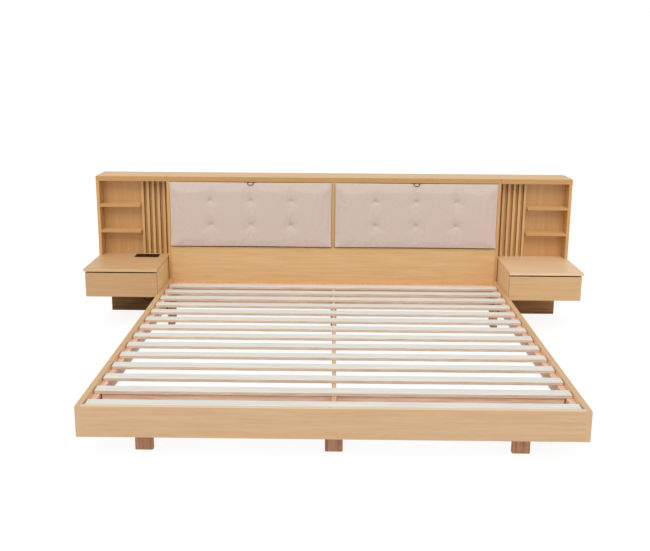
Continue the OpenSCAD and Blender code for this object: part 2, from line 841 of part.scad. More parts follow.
// Flush unit with two round two-pin sockets and two charging ports
module power_unit() {
    pin_deep = 14;
    top = stand_h + unit_flange_t;
    color(black) placed() translate([power_x, power_y, 0]) difference() {
        union() {
            translate([0, 0, stand_h - unit_depth]) power_body(unit_depth, 0);
            translate([-unit_flange_w / 2, -unit_flange_d / 2, stand_h])
                linear_extrude(unit_flange_t) round_rect(unit_flange_w, unit_flange_d, 7);
        }
        for (x = [-38, 14]) translate([x, 0, top - socket_recess]) {
            cylinder(d = socket_d, h = socket_recess + 1);
            for (p = [-1, 1]) translate([p * pin_pitch / 2, 0, -pin_deep])
                cylinder(d = 4.8, h = pin_deep + 1);
        }
        for (y = [-14, 14])
            block([48.5, y - 4.5, top - pin_deep], [51.5, y + 4.5, top + 1]);
    }
}

// Stepped relief under the power unit, where the lead leaves it
module strain_relief() {
    neck = relief_l - 6;
    color(black) placed() translate([relief_x, relief_y, relief_z])
        rotate_extrude() polygon([[0, 0], [lead_r + 1, 0], [lead_r + 2.5, neck],
            [relief_side, neck], [relief_side, relief_l], [0, relief_l]]);
}

// Tube of n sides swept along the points p
module tube(p, n, r) {
    last = len(p) - 1;
    dirs = [for (k = [0:last]) unit(p[min(last, k + 1)] - p[max(0, k - 1)])];
    normals = carry(dirs, 0, square_to(dirs[0]));
    rings = [
        for (k = [0:last], a = [0:n - 1])
            let (u = normals[k], v = cross(dirs[k], u), t = 360 * a / n)
            p[k] + r * (cos(t) * u + sin(t) * v)
    ];
    walls = [
        for (k = [0:last - 1], a = [0:n - 1])
            let (b = (a + 1) % n, i = k * n)
            each [[i + a, i + n + a, i + b], [i + b, i + n + a, i + n + b]]
    ];
    ends = [
        for (a = [1:n - 2])
            each [[0, a, a + 1], [last * n, last * n + a + 1, last * n + a]]
    ];
    polyhedron(rings, concat(walls, ends));
}

function unit(v) = v / norm(v);
function square_to(v) = unit(cross(v, abs(v[2]) < 0.9 ? [0, 0, 1] : [1, 0, 0]));
// Normals carried along the directions without twist
function carry(dirs, k, n) =
    let (m = unit(n - (n * dirs[k]) * dirs[k]))
    k == len(dirs) - 1 ? [m] : [m, each carry(dirs, k + 1, m)];

module lead() {
    color(black) placed() tube(lead_route, 8, lead_r);
}

module lead_coil() {
    color(black) placed() tube(coil_path, 6, lead_r);
}

// Flat two-pin plug that lies at the coil's end
module plug() {
    pin_l = 19;
    color(black) placed() translate(plug_at) rotate([0, 0, coil_end_a + 90]) {
        rotate([90, 0, 90]) translate([-plug_w / 2, -plug_t / 2, 0])
            linear_extrude(plug_l) round_rect(plug_w, plug_t, 6);
        for (p = [-1, 1]) translate([plug_l, p * pin_pitch / 2, 0]) rotate([0, 90, 0])
            cylinder(d = 4, h = pin_l);
    }
}

side_rail(-1);  // side_rail_left
side_rail(1);  // side_rail_right
foot_rail();
foot_cross_board();
head_cross_board();
centre_beam();
ledgers();
foot_leg(-foot_leg_x);  // leg_foot_left
foot_leg(beam_x);  // leg_foot_middle
foot_leg(foot_leg_x);  // leg_foot_right
head_leg(-rail_in_x + head_leg_in, ledger_z);  // leg_head_left
head_leg(beam_x - head_leg_t / 2, beam_z);  // leg_head_middle
head_leg(rail_in_x - head_leg_in - head_leg_t, ledger_z);  // leg_head_right
slats();
corner_brackets();
headboard_side(-1);  // headboard_side_left
headboard_side(1);  // headboard_side_right
headboard_cap();
headboard_divider();
headboard_back();
headboard_floor();
headboard_lower_panel();
flap_board(-1);  // flap_board_left
flap_board(1);  // flap_board_right
cushion(-1);  // cushion_left
cushion(1);  // cushion_right
pull_strap(-1);  // pull_strap_left
pull_strap(1);  // pull_strap_right
flap_hinges();
hinge_leaves(-1);  // hinge_leaves_left
hinge_leaves(1);  // hinge_leaves_right
magnet_catches();
tower_cap(-1);  // tower_cap_left
tower_cap(1);  // tower_cap_right
tower_side(-1);  // tower_side_left
tower_side(1);  // tower_side_right
tower_back(-1);  // tower_back_left
tower_back(1);  // tower_back_right
tower_ribs(-1);  // tower_ribs_left
tower_ribs(1);  // tower_ribs_right
shelves(-1);  // shelves_left
shelves(1);  // shelves_right
nightstand_top(-1);  // nightstand_top_left
nightstand_top(1);  // nightstand_top_right
nightstand_case(-1);  // nightstand_case_left
nightstand_case(1);  // nightstand_case_right
drawer_front(-1);  // drawer_front_left
drawer_front(1);  // drawer_front_right
drawer_box(-1);  // drawer_box_left
drawer_box(1);  // drawer_box_right
drawer_runners();
drawer_slides(-1);  // drawer_slides_left
drawer_slides(1);  // drawer_slides_right
plinth(-1);  // plinth_left
plinth(1);  // plinth_right
power_unit();
strain_relief();
lead();
lead_coil();
plug();
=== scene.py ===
"""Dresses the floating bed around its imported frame: finishes, upholstery, lead and studio."""

import logging
import math
from collections.abc import Mapping, Sequence
from dataclasses import dataclass, replace
from enum import Enum
from itertools import product

import bpy
import numpy as np
from bpy.types import Material, Node, NodeSocket, NodeTree, Object
from mathutils import Matrix, Vector
from mathutils.geometry import tessellate_polygon


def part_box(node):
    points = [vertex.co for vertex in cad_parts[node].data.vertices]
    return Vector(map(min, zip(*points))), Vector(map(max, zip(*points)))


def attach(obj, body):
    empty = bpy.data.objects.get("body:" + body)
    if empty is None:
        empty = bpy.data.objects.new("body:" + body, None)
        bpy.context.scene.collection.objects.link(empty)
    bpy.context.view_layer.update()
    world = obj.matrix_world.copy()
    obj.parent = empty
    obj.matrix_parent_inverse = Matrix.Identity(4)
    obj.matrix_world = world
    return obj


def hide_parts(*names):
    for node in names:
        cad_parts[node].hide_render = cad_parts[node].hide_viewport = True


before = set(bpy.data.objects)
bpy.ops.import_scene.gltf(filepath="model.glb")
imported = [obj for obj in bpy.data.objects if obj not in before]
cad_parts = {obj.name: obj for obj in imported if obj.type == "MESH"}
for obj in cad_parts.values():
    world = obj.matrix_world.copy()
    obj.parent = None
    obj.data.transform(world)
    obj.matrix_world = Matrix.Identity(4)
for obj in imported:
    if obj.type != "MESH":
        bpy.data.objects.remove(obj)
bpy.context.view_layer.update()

MM = 0.001
# The plane of the headboard's face, from which the lead's route is measured
FACE_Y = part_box("headboard_lower_panel")[0].y
BEHIND_FACE = Vector((0, FACE_Y, 0))
# The sockets of Blender's Mix node for colours, and its inputs for plain numbers
MIX_FACTOR, MIX_A, MIX_B, MIX_RESULT = 0, 6, 7, 2
MIX_NUMBER_A, MIX_NUMBER_B = 2, 3
# The width of one wave of Blender's Wave texture at scale 1, in metres
WAVE_WIDTH = 0.314
# A face counts as square to an axis where its normal has this share of it, from none to full
SQUARE_SPAN = (0.45, 0.75)
# How far a seed moves a figure at most, in metres, and how it turns along each axis
SEED_REACH = 7.0
SEED_TURNS = (12.99, 78.23, 37.72)
SEED_PER_LETTER = 0.37
# Edges sharper than this are eased, once points this close have been welded
EASED_DEG = 40.0
WELD_MM = 0.01
# A colour: six hex digits of sRGB, or the socket that holds it
Ink = str | NodeSocket

log = logging.getLogger("floating_bed")


class Side(Enum):
    """The two sides of the bed, seen from its foot."""

    LEFT = "left"
    RIGHT = "right"


class Axis(Enum):
    """An axis that a board's grain runs along, or that its faces stand square to."""

    X = 0
    Y = 1
    Z = 2


def linear(colour: str) -> tuple[float, float, float, float]:
    """Turns an sRGB hex colour to linear RGBA.

    Args:
        colour: Six hex digits.

    Returns:
        The linear colour, opaque.
    """
    shares = [int(colour[i : i + 2], 16) / 255 for i in (0, 2, 4)]
    red, green, blue = (
        share / 12.92 if share <= 0.04045 else ((share + 0.055) / 1.055) ** 2.4
        for share in shares
    )
    return (red, green, blue, 1.0)


def add_node(
    tree: NodeTree,
    kind: str,
    inputs: Mapping[str | int, object] | None = None,
    **settings: object,
) -> Node:
    """Adds a node with its settings, values and links.

    Args:
        tree: The node tree.
        kind: The node's Blender type.
        inputs: A value, or a socket to link from, for each input socket.
        **settings: Properties of the node.

    Returns:
        The new node.
    """
    node = tree.nodes.new(kind)
    for name, value in settings.items():
        setattr(node, name, value)
    for key, value in (inputs or {}).items():
        if isinstance(value, NodeSocket):
            tree.links.new(value, node.inputs[key])
        else:
            node.inputs[key].default_value = value
    return node


def new_tree(name: str) -> tuple[Material, NodeTree]:
    """Makes a material with an empty node tree.

    Args:
        name: The material's name.

    Returns:
        The material and its tree.
    """
    material = bpy.data.materials.new(name)
    material.use_nodes = True
    material.node_tree.nodes.clear()
    return material, material.node_tree


def finish_tree(
    tree: NodeTree,
    inputs: Mapping[str, object],
    height: NodeSocket | None = None,
    relief: tuple[float, float] = (0.0, 0.0),
) -> None:
    """Closes a tree with one principled shader.

    Args:
        tree: The node tree.
        inputs: Values and links of the shader's sockets.
        height: The height of a fine relief, or None for an even face.
        relief: The relief's strength, and its depth in millimetres.
    """
    values = dict(inputs)
    if height is not None:
        strength, depth = relief
        raised = {"Height": height, "Strength": strength, "Distance": depth * MM}
        values["Normal"] = add_node(tree, "ShaderNodeBump", raised).outputs["Normal"]
    shader = add_node(tree, "ShaderNodeBsdfPrincipled", values)
    add_node(tree, "ShaderNodeOutputMaterial", {"Surface": shader.outputs["BSDF"]})


@dataclass(frozen=True)
class Lay:
    """How a figure lies on its piece: the axis it is drawn out along, how far, and its seed."""

    grain: Axis = Axis.X
    stretch: float = 1.0
    seed: float = 0.0


def figure(
    tree: NodeTree, lay: Lay, size_mm: float, detail: float = 2.0, roughness: float = 0.5
) -> NodeSocket:
    """Draws an uneven figure on a piece, such as streaks, specks or a spangle.

    Args:
        tree: The node tree.
        lay: How the figure lies on the piece.
        size_mm: The figure's width across the grain.
        detail: How many finer figures lie in it.
        roughness: How strong those are.

    Returns:
        The socket that holds the figure's height, from 0 to 1.
    """
    place = add_node(tree, "ShaderNodeTexCoord").outputs["Object"]
    scale = [1.0, 1.0, 1.0]
    scale[lay.grain.value] = 1 / lay.stretch
    shift = [SEED_REACH * math.sin(lay.seed * turn) for turn in SEED_TURNS]
    moved = {"Vector": place, "Location": shift, "Scale": scale}
    drawn = add_node(tree, "ShaderNodeMapping", moved).outputs["Vector"]
    noise = {
        "Vector": drawn, "Scale": 1 / (size_mm * MM), "Detail": detail, "Roughness": roughness
    }
    return add_node(tree, "ShaderNodeTexNoise", noise).outputs["Fac"]


def two_tone(
    tree: NodeTree,
    height: NodeSocket,
    low: Ink,
    high: Ink,
    span: tuple[float, float] = (0.0, 1.0),
    most: float = 1.0,
) -> NodeSocket:
    """Colours a figure from its hollows to its crests.

    Args:
        tree: The node tree.
        height: The figure's height.
        low: The colour of the hollows.
        high: The colour of the crests.
        span: The heights between which the one runs into the other.
        most: The largest share of the high colour.

    Returns:
        The socket that holds the colour.
    """
    heights = {"Value": height, "From Min": span[0], "From Max": span[1], "To Max": most}
    share = add_node(tree, "ShaderNodeMapRange", heights).outputs["Result"]
    under, over = (linear(ink) if isinstance(ink, str) else ink for ink in (low, high))
    inks = {MIX_FACTOR: share, MIX_A: under, MIX_B: over}
    return add_node(tree, "ShaderNodeMix", inks, data_type="RGBA").outputs[MIX_RESULT]


def square_to(tree: NodeTree, axis: Axis) -> NodeSocket:
    """Marks the faces that stand square to an axis of the object.

    Args:
        tree: The node tree.
        axis: The axis.

    Returns:
        The socket, which is 1 on those faces and 0 on the others.
    """
    normal = add_node(tree, "ShaderNodeTexCoord").outputs["Normal"]
    parts = add_node(tree, "ShaderNodeSeparateXYZ", {"Vector": normal})
    part = {0: parts.outputs[axis.value]}
    share = add_node(tree, "ShaderNodeMath", part, operation="ABSOLUTE").outputs[0]
    low, high = SQUARE_SPAN
    shares = {"Value": share, "From Min": low, "From Max": high}
    return add_node(tree, "ShaderNodeMapRange", shares).outputs["Result"]


@dataclass(frozen=True)
class FaceTone:
    """A colour laid over a board's faces square to one axis, for edging and for painted light and
    painted shade.
    """

    across: Axis
    colour: str
    share: float
    # How far from the bed's middle the faces may lie
    within_mm: float = 5000.0

    def over(self, tree: NodeTree, colour: NodeSocket) -> NodeSocket:
        """Lays the band over the board's colour.

        Args:
            tree: The node tree.
            colour: The board's colour so far.

        Returns:
            The socket that holds the colour with the band.
        """
        place = add_node(tree, "ShaderNodeTexCoord").outputs["Object"]
        sideways = add_node(tree, "ShaderNodeSeparateXYZ", {"Vector": place}).outputs["X"]
        away = add_node(tree, "ShaderNodeMath", {0: sideways}, operation="ABSOLUTE").outputs[0]
        reach = {0: away, 1: self.within_mm * MM}
        near = add_node(tree, "ShaderNodeMath", reach, operation="LESS_THAN").outputs[0]
        both = {0: near, 1: square_to(tree, self.across)}
        mask = add_node(tree, "ShaderNodeMath", both, operation="MULTIPLY").outputs[0]
        return two_tone(tree, mask, colour, self.colour, most=self.share)


@dataclass(frozen=True)
class BoardFinish:
    """A finish of boards: a figure drawn out along the grain, with a fine relief in it."""

    stretch: float
    roughness: float
    shine: float
    # The relief's strength, and its depth in millimetres
    relief: tuple[float, float]

    def material(self, name: str, grain: Axis, seed: float) -> Material:
        """Makes one board's material.

        Args:
            name: The material's name.
            grain: The axis of the grain.
            seed: A number that moves the figure.

        Returns:
            The material.
        """
        material, tree = new_tree(name)
        colour, height = self.draw(tree, Lay(grain, self.stretch, seed))
        look = {"Base Color": colour, "Roughness": self.roughness, "Specular IOR Level": self.shine}
        finish_tree(tree, look, height, self.relief)
        return material

    def draw(self, tree: NodeTree, lay: Lay) -> tuple[NodeSocket, NodeSocket]:
        """Draws the board's figure and returns its colour and its relief's height."""
        raise NotImplementedError


@dataclass(frozen=True)
class OakMelamine(BoardFinish):
    """Oak-printed melamine on chipboard, pressed with a fine satin emboss.

    The print gives long pale and tan streaks with a few darker lines, and the press
    leaves a soft sheen without the depth of lacquered wood.
    """

    pale: str = "DEB789"
    tan: str = "D4A979"
    line: str = "C69A69"
    # Printed streaks are 10 to 20 mm wide, and the fine fibre about 2 mm
    streak_mm: float = 14.0
    fibre_mm: float = 2.0
    fibre_share: float = 0.42
    tone_span: tuple[float, float] = (0.36, 0.64)
    lines_per_streak: float = 1.7
    line_span: tuple[float, float] = (0.57, 0.70)
    line_share: float = 0.25
    stretch: float = 24.0
    roughness: float = 0.4
    shine: float = 0.5
    relief: tuple[float, float] = (0.12, 0.3)
    bands: tuple[FaceTone, ...] = ()

    def draw(self, tree: NodeTree, lay: Lay) -> tuple[NodeSocket, NodeSocket]:
        """Prints the streaks, the fibre and the darker lines, and lays the face tones over them:
        edging, painted light and painted shade.

        Args:
            tree: The node tree.
            lay: How the figure lies on the board.

        Returns:
            The sockets of its colour and of its relief's height.
        """
        streak = figure(tree, lay, self.streak_mm, 2.5)
        fibre = figure(tree, lay, self.fibre_mm, 3.0)
        shares = {MIX_FACTOR: self.fibre_share, MIX_NUMBER_A: streak, MIX_NUMBER_B: fibre}
        both = add_node(tree, "ShaderNodeMix", shares, data_type="FLOAT").outputs[0]
        colour = two_tone(tree, both, self.tan, self.pale, self.tone_span)
        lines = figure(tree, lay, self.streak_mm / self.lines_per_streak, 1.0)
        colour = two_tone(tree, lines, colour, self.line, self.line_span, self.line_share)
        for band in self.bands:
            colour = band.over(tree, colour)
        return colour, fibre


@dataclass(frozen=True)
class RawTimber(BoardFinish):
    """Planed timber with no lacquer: matt, with long growth streaks and a few dark ones."""

    pale: str = "DCAA8A"
    dark: str = "A6745A"
    streak_mm: float = 9.0
    tone_span: tuple[float, float] = (0.34, 0.66)
    stretch: float = 18.0
    roughness: float = 0.72
    shine: float = 0.25
    relief: tuple[float, float] = (0.25, 0.5)

    def draw(self, tree: NodeTree, lay: Lay) -> tuple[NodeSocket, NodeSocket]:
        """Draws the growth streaks and returns their colour and height."""
        growth = figure(tree, lay, self.streak_mm, 5.0, 0.62)
        return two_tone(tree, growth, self.dark, self.pale, self.tone_span), growth


@dataclass(frozen=True)
class SlatVeneer(BoardFinish):
    """Laminated poplar, near white on its wide faces and tan on its edges: a whitewash and bare
    plies, with painted light on the faces and painted shade on the edges.
    """

    wash_and_highlight: str = "E9E8E1"
    wash_streak_and_highlight: str = "DFDCD2"
    wash_mm: float = 8.0
    wash_span: tuple[float, float] = (0.38, 0.62)
    ply_and_shade: str = "E6CFB8"
    dark_ply_and_shade: str = "CDAE93"
    ply_mm: float = 3.0
    ply_span: tuple[float, float] = (0.30, 0.60)
    stretch: float = 30.0
    roughness: float = 0.62
    shine: float = 0.3
    relief: tuple[float, float] = (0.15, 0.4)

    def draw(self, tree: NodeTree, lay: Lay) -> tuple[NodeSocket, NodeSocket]:
        """Paints the wide faces near white and the upright edges tan: the wash and the bare plies,
        with painted light and painted shade in them.

        Args:
            tree: The node tree.
            lay: How the figure lies on the slat.

        Returns:
            The sockets of its colour and of its relief's height.
        """
        wash_and_highlight = figure(tree, lay, self.wash_mm, 4.0)
        faces = two_tone(tree, wash_and_highlight, self.wash_streak_and_highlight, self.wash_and_highlight, self.wash_span)
        plies = figure(tree, lay, self.ply_mm)
        edges = two_tone(tree, plies, self.dark_ply_and_shade, self.ply_and_shade, self.ply_span)
        # The pale wash goes on faces that look up or down and the tan plies on upright ones: partly
        # painted light on the faces, painted shade on the edges
        return two_tone(tree, square_to(tree, Axis.Z), edges, faces), wash_and_highlight


@dataclass(frozen=True)
class WovenLinen:
    """Plain-woven polyester linen: a matt slubby cloth with a faint light bloom.

    The real threads are about 0.8 mm apart, too fine to show in the render, so they are
    drawn 1.2 mm apart, with slubs 2.4 mm wide.
    """

    warp: str = "D7C4B9"
    weft: str = "D0BCB1"
    bloom: str = "E6E0F4"
    slub_mm: float = 2.4
    slub_stretch: float = 9.0
    # The sum of the warp's and the weft's slubs runs from 0 to 2
    slub_span: tuple[float, float] = (0.76, 1.24)
    thread_mm: float = 1.2
    relief: tuple[float, float] = (0.25, 0.25)

    def material(self, name: str, seed: float) -> Material:
        """Makes the cloth's material.

        Args:
            name: The material's name.
            seed: A number that moves the slubs.

        Returns:
            The material.
        """
        material, tree = new_tree(name)
        slubs = {
            index: figure(tree, Lay(run, self.slub_stretch, seed + run.value), self.slub_mm, 3.0)
            for index, run in enumerate((Axis.X, Axis.Z))
        }
        weave = add_node(tree, "ShaderNodeMath", slubs, operation="ADD").outputs[0]
        colour = two_tone(tree, weave, self.weft, self.warp, self.slub_span)
        place = add_node(tree, "ShaderNodeTexCoord").outputs["Object"]
        wave = {"Vector": place, "Scale": WAVE_WIDTH / (self.thread_mm * MM)}
        height = weave
        for run in "XZ":
            thread = add_node(tree, "ShaderNodeTexWave", wave, bands_direction=run)
            both = {0: height, 1: thread.outputs["Fac"]}
            height = add_node(tree, "ShaderNodeMath", both, operation="ADD").outputs[0]
        look = {
            "Base Color": colour,
            "Roughness": 0.92,
            "Specular IOR Level": 0.15,
            "Sheen Weight": 0.55,
            "Sheen Roughness": 0.45,
            "Sheen Tint": linear(self.bloom),
        }
        finish_tree(tree, look, height, self.relief)
        return material


@dataclass(frozen=True)
class ZincSteel:
    """Pressed steel with a bright zinc plating: a cool satin metal with faint spangle."""

    bright: str = "C9CACC"
    dull: str = "A9ABAE"
    spangle_mm: float = 4.0
    roughness_span: tuple[float, float] = (0.28, 0.42)

    def material(self, name: str) -> Material:
        """Makes the metal's material.

        Args:
            name: The material's name.

        Returns:
            The material.
        """
        material, tree = new_tree(name)
        spangle = figure(tree, Lay(), self.spangle_mm)
        colour = two_tone(tree, spangle, self.dull, self.bright)
        low, high = self.roughness_span
        shares = {"Value": spangle, "To Min": low, "To Max": high}
        roughness = add_node(tree, "ShaderNodeMapRange", shares).outputs["Result"]
        finish_tree(tree, {"Base Color": colour, "Metallic": 1.0, "Roughness": roughness})
        return material


@dataclass(frozen=True)
class MouldedPlastic:
    """Moulded ABS or rubber: an even colour with a spark-eroded matt grain."""

    colour: str = "141416"
    fleck: str = "1E1E21"
    grain_mm: float = 1.5
    roughness: float = 0.42
    shine: float = 0.5
    relief: tuple[float, float] = (0.2, 0.1)

    def material(self, name: str) -> Material:
        """Makes the plastic's material.

        Args:
            name: The material's name.

        Returns:
            The material.
        """
        material, tree = new_tree(name)
        grain = figure(tree, Lay(), self.grain_mm)
        colour = two_tone(tree, grain, self.colour, self.fleck)
        look = {"Base Color": colour, "Roughness": self.roughness, "Specular IOR Level": self.shine}
        finish_tree(tree, look, grain, self.relief)
        return material


# The faces of boards that differ: first the edging of the caps' and shelves' fronts, painted darker
# than the tops as painted shade on faces turned from the light above
FRONT_EDGING_AND_SHADE = FaceTone(Axis.Y, "C49256", 0.9)
# Where the caps of two units meet, their ends are painted near black: painted shade in the joint
# between the units
JOINT_SHADE_END = FaceTone(Axis.X, "3A2818", 1.0, within_mm=1200.0)
# The drawer fronts' tops and bottoms, painted near black: painted shade in the finger gap under the
# table top
FINGER_GAP_SHADE = FaceTone(Axis.Z, "33210F", 1.0)
# The side rails' faces that look at the slats, painted paler: painted light on faces that the lamps
# barely reach
INNER_FACE_PAINTED_LIGHT = FaceTone(Axis.X, "F3D1A2", 0.8, within_mm=985.0)
# Their ends, which carry the foot rail's edging
END_FACE = FaceTone(Axis.Y, "D1AD84", 0.95)
# The foot rail's top, painted paler: a painted highlight where the light from above falls
TOP_PAINTED_HIGHLIGHT = FaceTone(Axis.Z, "ECD0AC", 0.85)
# The ribs' sides, which look into the grooves between them, painted darker: painted shade in the
# grooves
RIB_SIDE_PAINTED_SHADE = FaceTone(Axis.X, "AC7A3E", 0.8)
# The faces of the nightstands' cases that look at the bed, painted paler: painted light on faces
# that the lamps barely reach
BED_FACE_PAINTED_LIGHT = FaceTone(Axis.X, "F3CE98", 0.85, within_mm=1100.0)

# The finishes of this bed
OAK = OakMelamine()
OAK_HEAD = OakMelamine(pale="E4BD88", tan="D9AE76", line="C79C62")
OAK_CAP = replace(OAK_HEAD, bands=(FRONT_EDGING_AND_SHADE, JOINT_SHADE_END))
OAK_SHELF = replace(OAK_HEAD, bands=(FRONT_EDGING_AND_SHADE,))
OAK_TOWER = OakMelamine(pale="D6AA6E", tan="CB9C5F", line="BB8E50")
OAK_RIB = OakMelamine(pale="DEB379", tan="D3A669", line="C29758", bands=(RIB_SIDE_PAINTED_SHADE,))
OAK_SIDE_RAIL = OakMelamine(bands=(INNER_FACE_PAINTED_LIGHT, END_FACE))
OAK_FOOT_RAIL = OakMelamine(pale="D5B28A", tan="CBA47A", line="BD956A", bands=(TOP_PAINTED_HIGHLIGHT,))
TABLE_TOP = {
    Side.LEFT: OAK,
    # The right top is painted paler: a painted reflection of a bright light on it
    Side.RIGHT: OakMelamine(pale="EFCFA8", tan="E6C398", line="D6AF83"),
}
DRAWER_FRONT = {
    Side.LEFT: OakMelamine(pale="CDA376", tan="C39768", line="B6895A", bands=(FINGER_GAP_SHADE,)),
    Side.RIGHT: OakMelamine(pale="D9B181", tan="CFA471", line="C09562", bands=(FINGER_GAP_SHADE,)),
}
OAK_CASE = OakMelamine(bands=(BED_FACE_PAINTED_LIGHT,))
OAK_BACK = OakMelamine(pale="D6A970", tan="CB9A60", line="B98449", streak_mm=20.0)
DRAWER_WOOD = RawTimber(pale="E2C9A4", dark="CDB088", streak_mm=6.0)
RED_TIMBER = RawTimber()
LEDGER_TIMBER = RawTimber(pale="F6D6BF", dark="DFB197", streak_mm=7.0)
BEAM_TIMBER = RawTimber(pale="E4C59C", dark="D0AB7F", streak_mm=6.0)
SLAT_VENEER = SlatVeneer()
# The left plinth is painted darker than the right: painted shade on the same board
PLINTH_IN_PAINTED_SHADE = RawTimber(pale="86653E", dark="61472B", streak_mm=12.0)
BROWN_PLINTH = RawTimber(pale="BE8D63", dark="8E6746", streak_mm=12.0)
LINEN = WovenLinen()
ZINC = ZincSteel()
BRONZED_STEEL = ZincSteel(bright="8C6B49", dull="6E5238")
BLACK_ABS = MouldedPlastic()
UNIT_ABS = MouldedPlastic(colour="0C0B0B", fleck="151414", roughness=0.6, shine=0.2)
CATCH_ABS = MouldedPlastic(colour="232325", fleck="2E2E31", roughness=0.55)
CORD_SHEATH = MouldedPlastic(colour="0C0C0D", fleck="141415", roughness=0.75, shine=0.2)
STRAP_WEB = MouldedPlastic(colour="49343A", fleck="5E474C", grain_mm=1.0, roughness=0.85)


def dress(node: str, material: Material, edge_mm: float = 0.8) -> None:
    """Gives a CAD node its material and breaks its sharp edges.

    Args:
        node: The node's name.
        material: Its material.
        edge_mm: Width of the eased edge, or 0 to leave it.
    """
    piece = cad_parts[node]
    piece.data.materials.clear()
    piece.data.materials.append(material)
    if edge_mm:
        weld = piece.modifiers.new("weld", "WELD")
        weld.merge_threshold = WELD_MM * MM
        bevel = piece.modifiers.new("eased_edges", "BEVEL")
        bevel.width = edge_mm * MM
        bevel.segments = 2
        bevel.limit_method = "ANGLE"
        bevel.angle_limit = math.radians(EASED_DEG)
    log.info("dressed %s with %s", node, material.name)


def dress_boards(
    finish: BoardFinish, grain: Axis, nodes: Sequence[str], edge_mm: float = 0.8
) -> None:
    """Gives each board a material of its own, so that no two have the same figure.

    Args:
        finish: The finish.
        grain: The axis of the grain.
        nodes: The boards' nodes.
        edge_mm: Width of the eased edges.
    """
    for index, node in enumerate(nodes):
        seed = 1 + index + SEED_PER_LETTER * len(node)
        dress(node, finish.material(f"{node}_finish", grain, seed), edge_mm)


def mesh_piece(
    name: str,
    vertices: Sequence[Sequence[float]] | np.ndarray,
    faces: Sequence[Sequence[int]],
    material: Material,
    smooth: bool = True,
) -> Object:
    """Makes a mesh object.

    Args:
        name: The object's name.
        vertices: Its points, in metres.
        faces: Its faces, as indices of points.
        material: Its material.
        smooth: Whether the faces are shaded smooth.

    Returns:
        The object.
    """
    mesh = bpy.data.meshes.new(name)
    mesh.from_pydata([tuple(point) for point in vertices], [], [tuple(f) for f in faces])
    mesh.polygons.foreach_set("use_smooth", [smooth] * len(mesh.polygons))
    mesh.materials.append(material)
    piece = bpy.data.objects.new(name, mesh)
    bpy.context.scene.collection.objects.link(piece)
    return piece


def rings_of(start: int, count: int, sides: int) -> list[range]:
    """Lists the indices of rings of points that follow each other from a first point."""
    return [range(start + ring * sides, start + (ring + 1) * sides) for ring in range(count)]


def skin(rings: Sequence[Sequence[int]]) -> list[tuple[int, ...]]:
    """Lists the quads that join each ring of points to the next.

    Args:
        rings: The rings, as indices of points.

    Returns:
        The quads.
    """
    return [
        (near[step - 1], near[step], far[step], far[step - 1])
        for near, far in zip(rings, rings[1:])
        for step in range(len(near))
    ]


def add_turned(
    vertices: list[Vector],
    faces: list[tuple[int, ...]],
    rings: Sequence[tuple[Vector, float]],
    across: Vector,
    sides: int,
) -> None:
    """Adds a closed round form, such as a screw's head, to lists of points and faces.

    Args:
        vertices: The points so far.
        faces: The faces so far.
        rings: The middle and the radius of each ring along the form.
        across: The direction of each ring's first point, square to the form.
        sides: Points in a ring.
    """
    third = (rings[-1][0] - rings[0][0]).normalized().cross(across)
    loops = rings_of(len(vertices), len(rings), sides)
    for middle, radius in rings:
        for side in range(sides):
            angle = math.tau * side / sides
            vertices.append(middle + radius * (math.cos(angle) * across + math.sin(angle) * third))
    faces.extend([*skin(loops), tuple(loops[0])[::-1], tuple(loops[-1])])


@dataclass
class PhotoCamera:
    """The camera of the photograph, solved from the bed's straight edges."""

    # Measured from the headboard's face, in metres, with the turns in radians
    location: tuple[float, float, float] = (-0.0129, -5.3546, 1.5417)
    yaw: float = -0.0096
    pitch: float = 0.2340
    roll: float = 0.0067
    focal_px: float = 909.29
    centre_px: tuple[float, float] = (322.10, 274.35)
    frame_px: tuple[int, int] = (650, 551)
    sensor_mm: float = 36.0

    def build(self) -> None:
        """Makes the camera and sets it as the scene's."""
        data = bpy.data.cameras.new("photo_camera")
        width, height = self.frame_px
        data.sensor_width = self.sensor_mm
        data.lens = self.focal_px / width * self.sensor_mm
        data.shift_x = (width / 2 - self.centre_px[0]) / width
        data.shift_y = (self.centre_px[1] - height / 2) / width
        level = Vector((math.cos(self.yaw), -math.sin(self.yaw), 0.0))
        ahead = Vector((math.sin(self.yaw), math.cos(self.yaw), 0.0))
        forward = math.cos(self.pitch) * ahead - math.sin(self.pitch) * Vector((0, 0, 1))
        upright = level.cross(forward)
        right = math.cos(self.roll) * level + math.sin(self.roll) * upright
        up = math.cos(self.roll) * upright - math.sin(self.roll) * level
        camera = bpy.data.objects.new("photo_camera", data)
        bpy.context.scene.collection.objects.link(camera)
        matrix = Matrix((right, up, -forward)).transposed().to_4x4()
        matrix.translation = Vector(self.location) + BEHIND_FACE
        camera.matrix_world = matrix
        bpy.context.scene.camera = camera
        log.info("camera with a %.1f mm lens", data.lens)


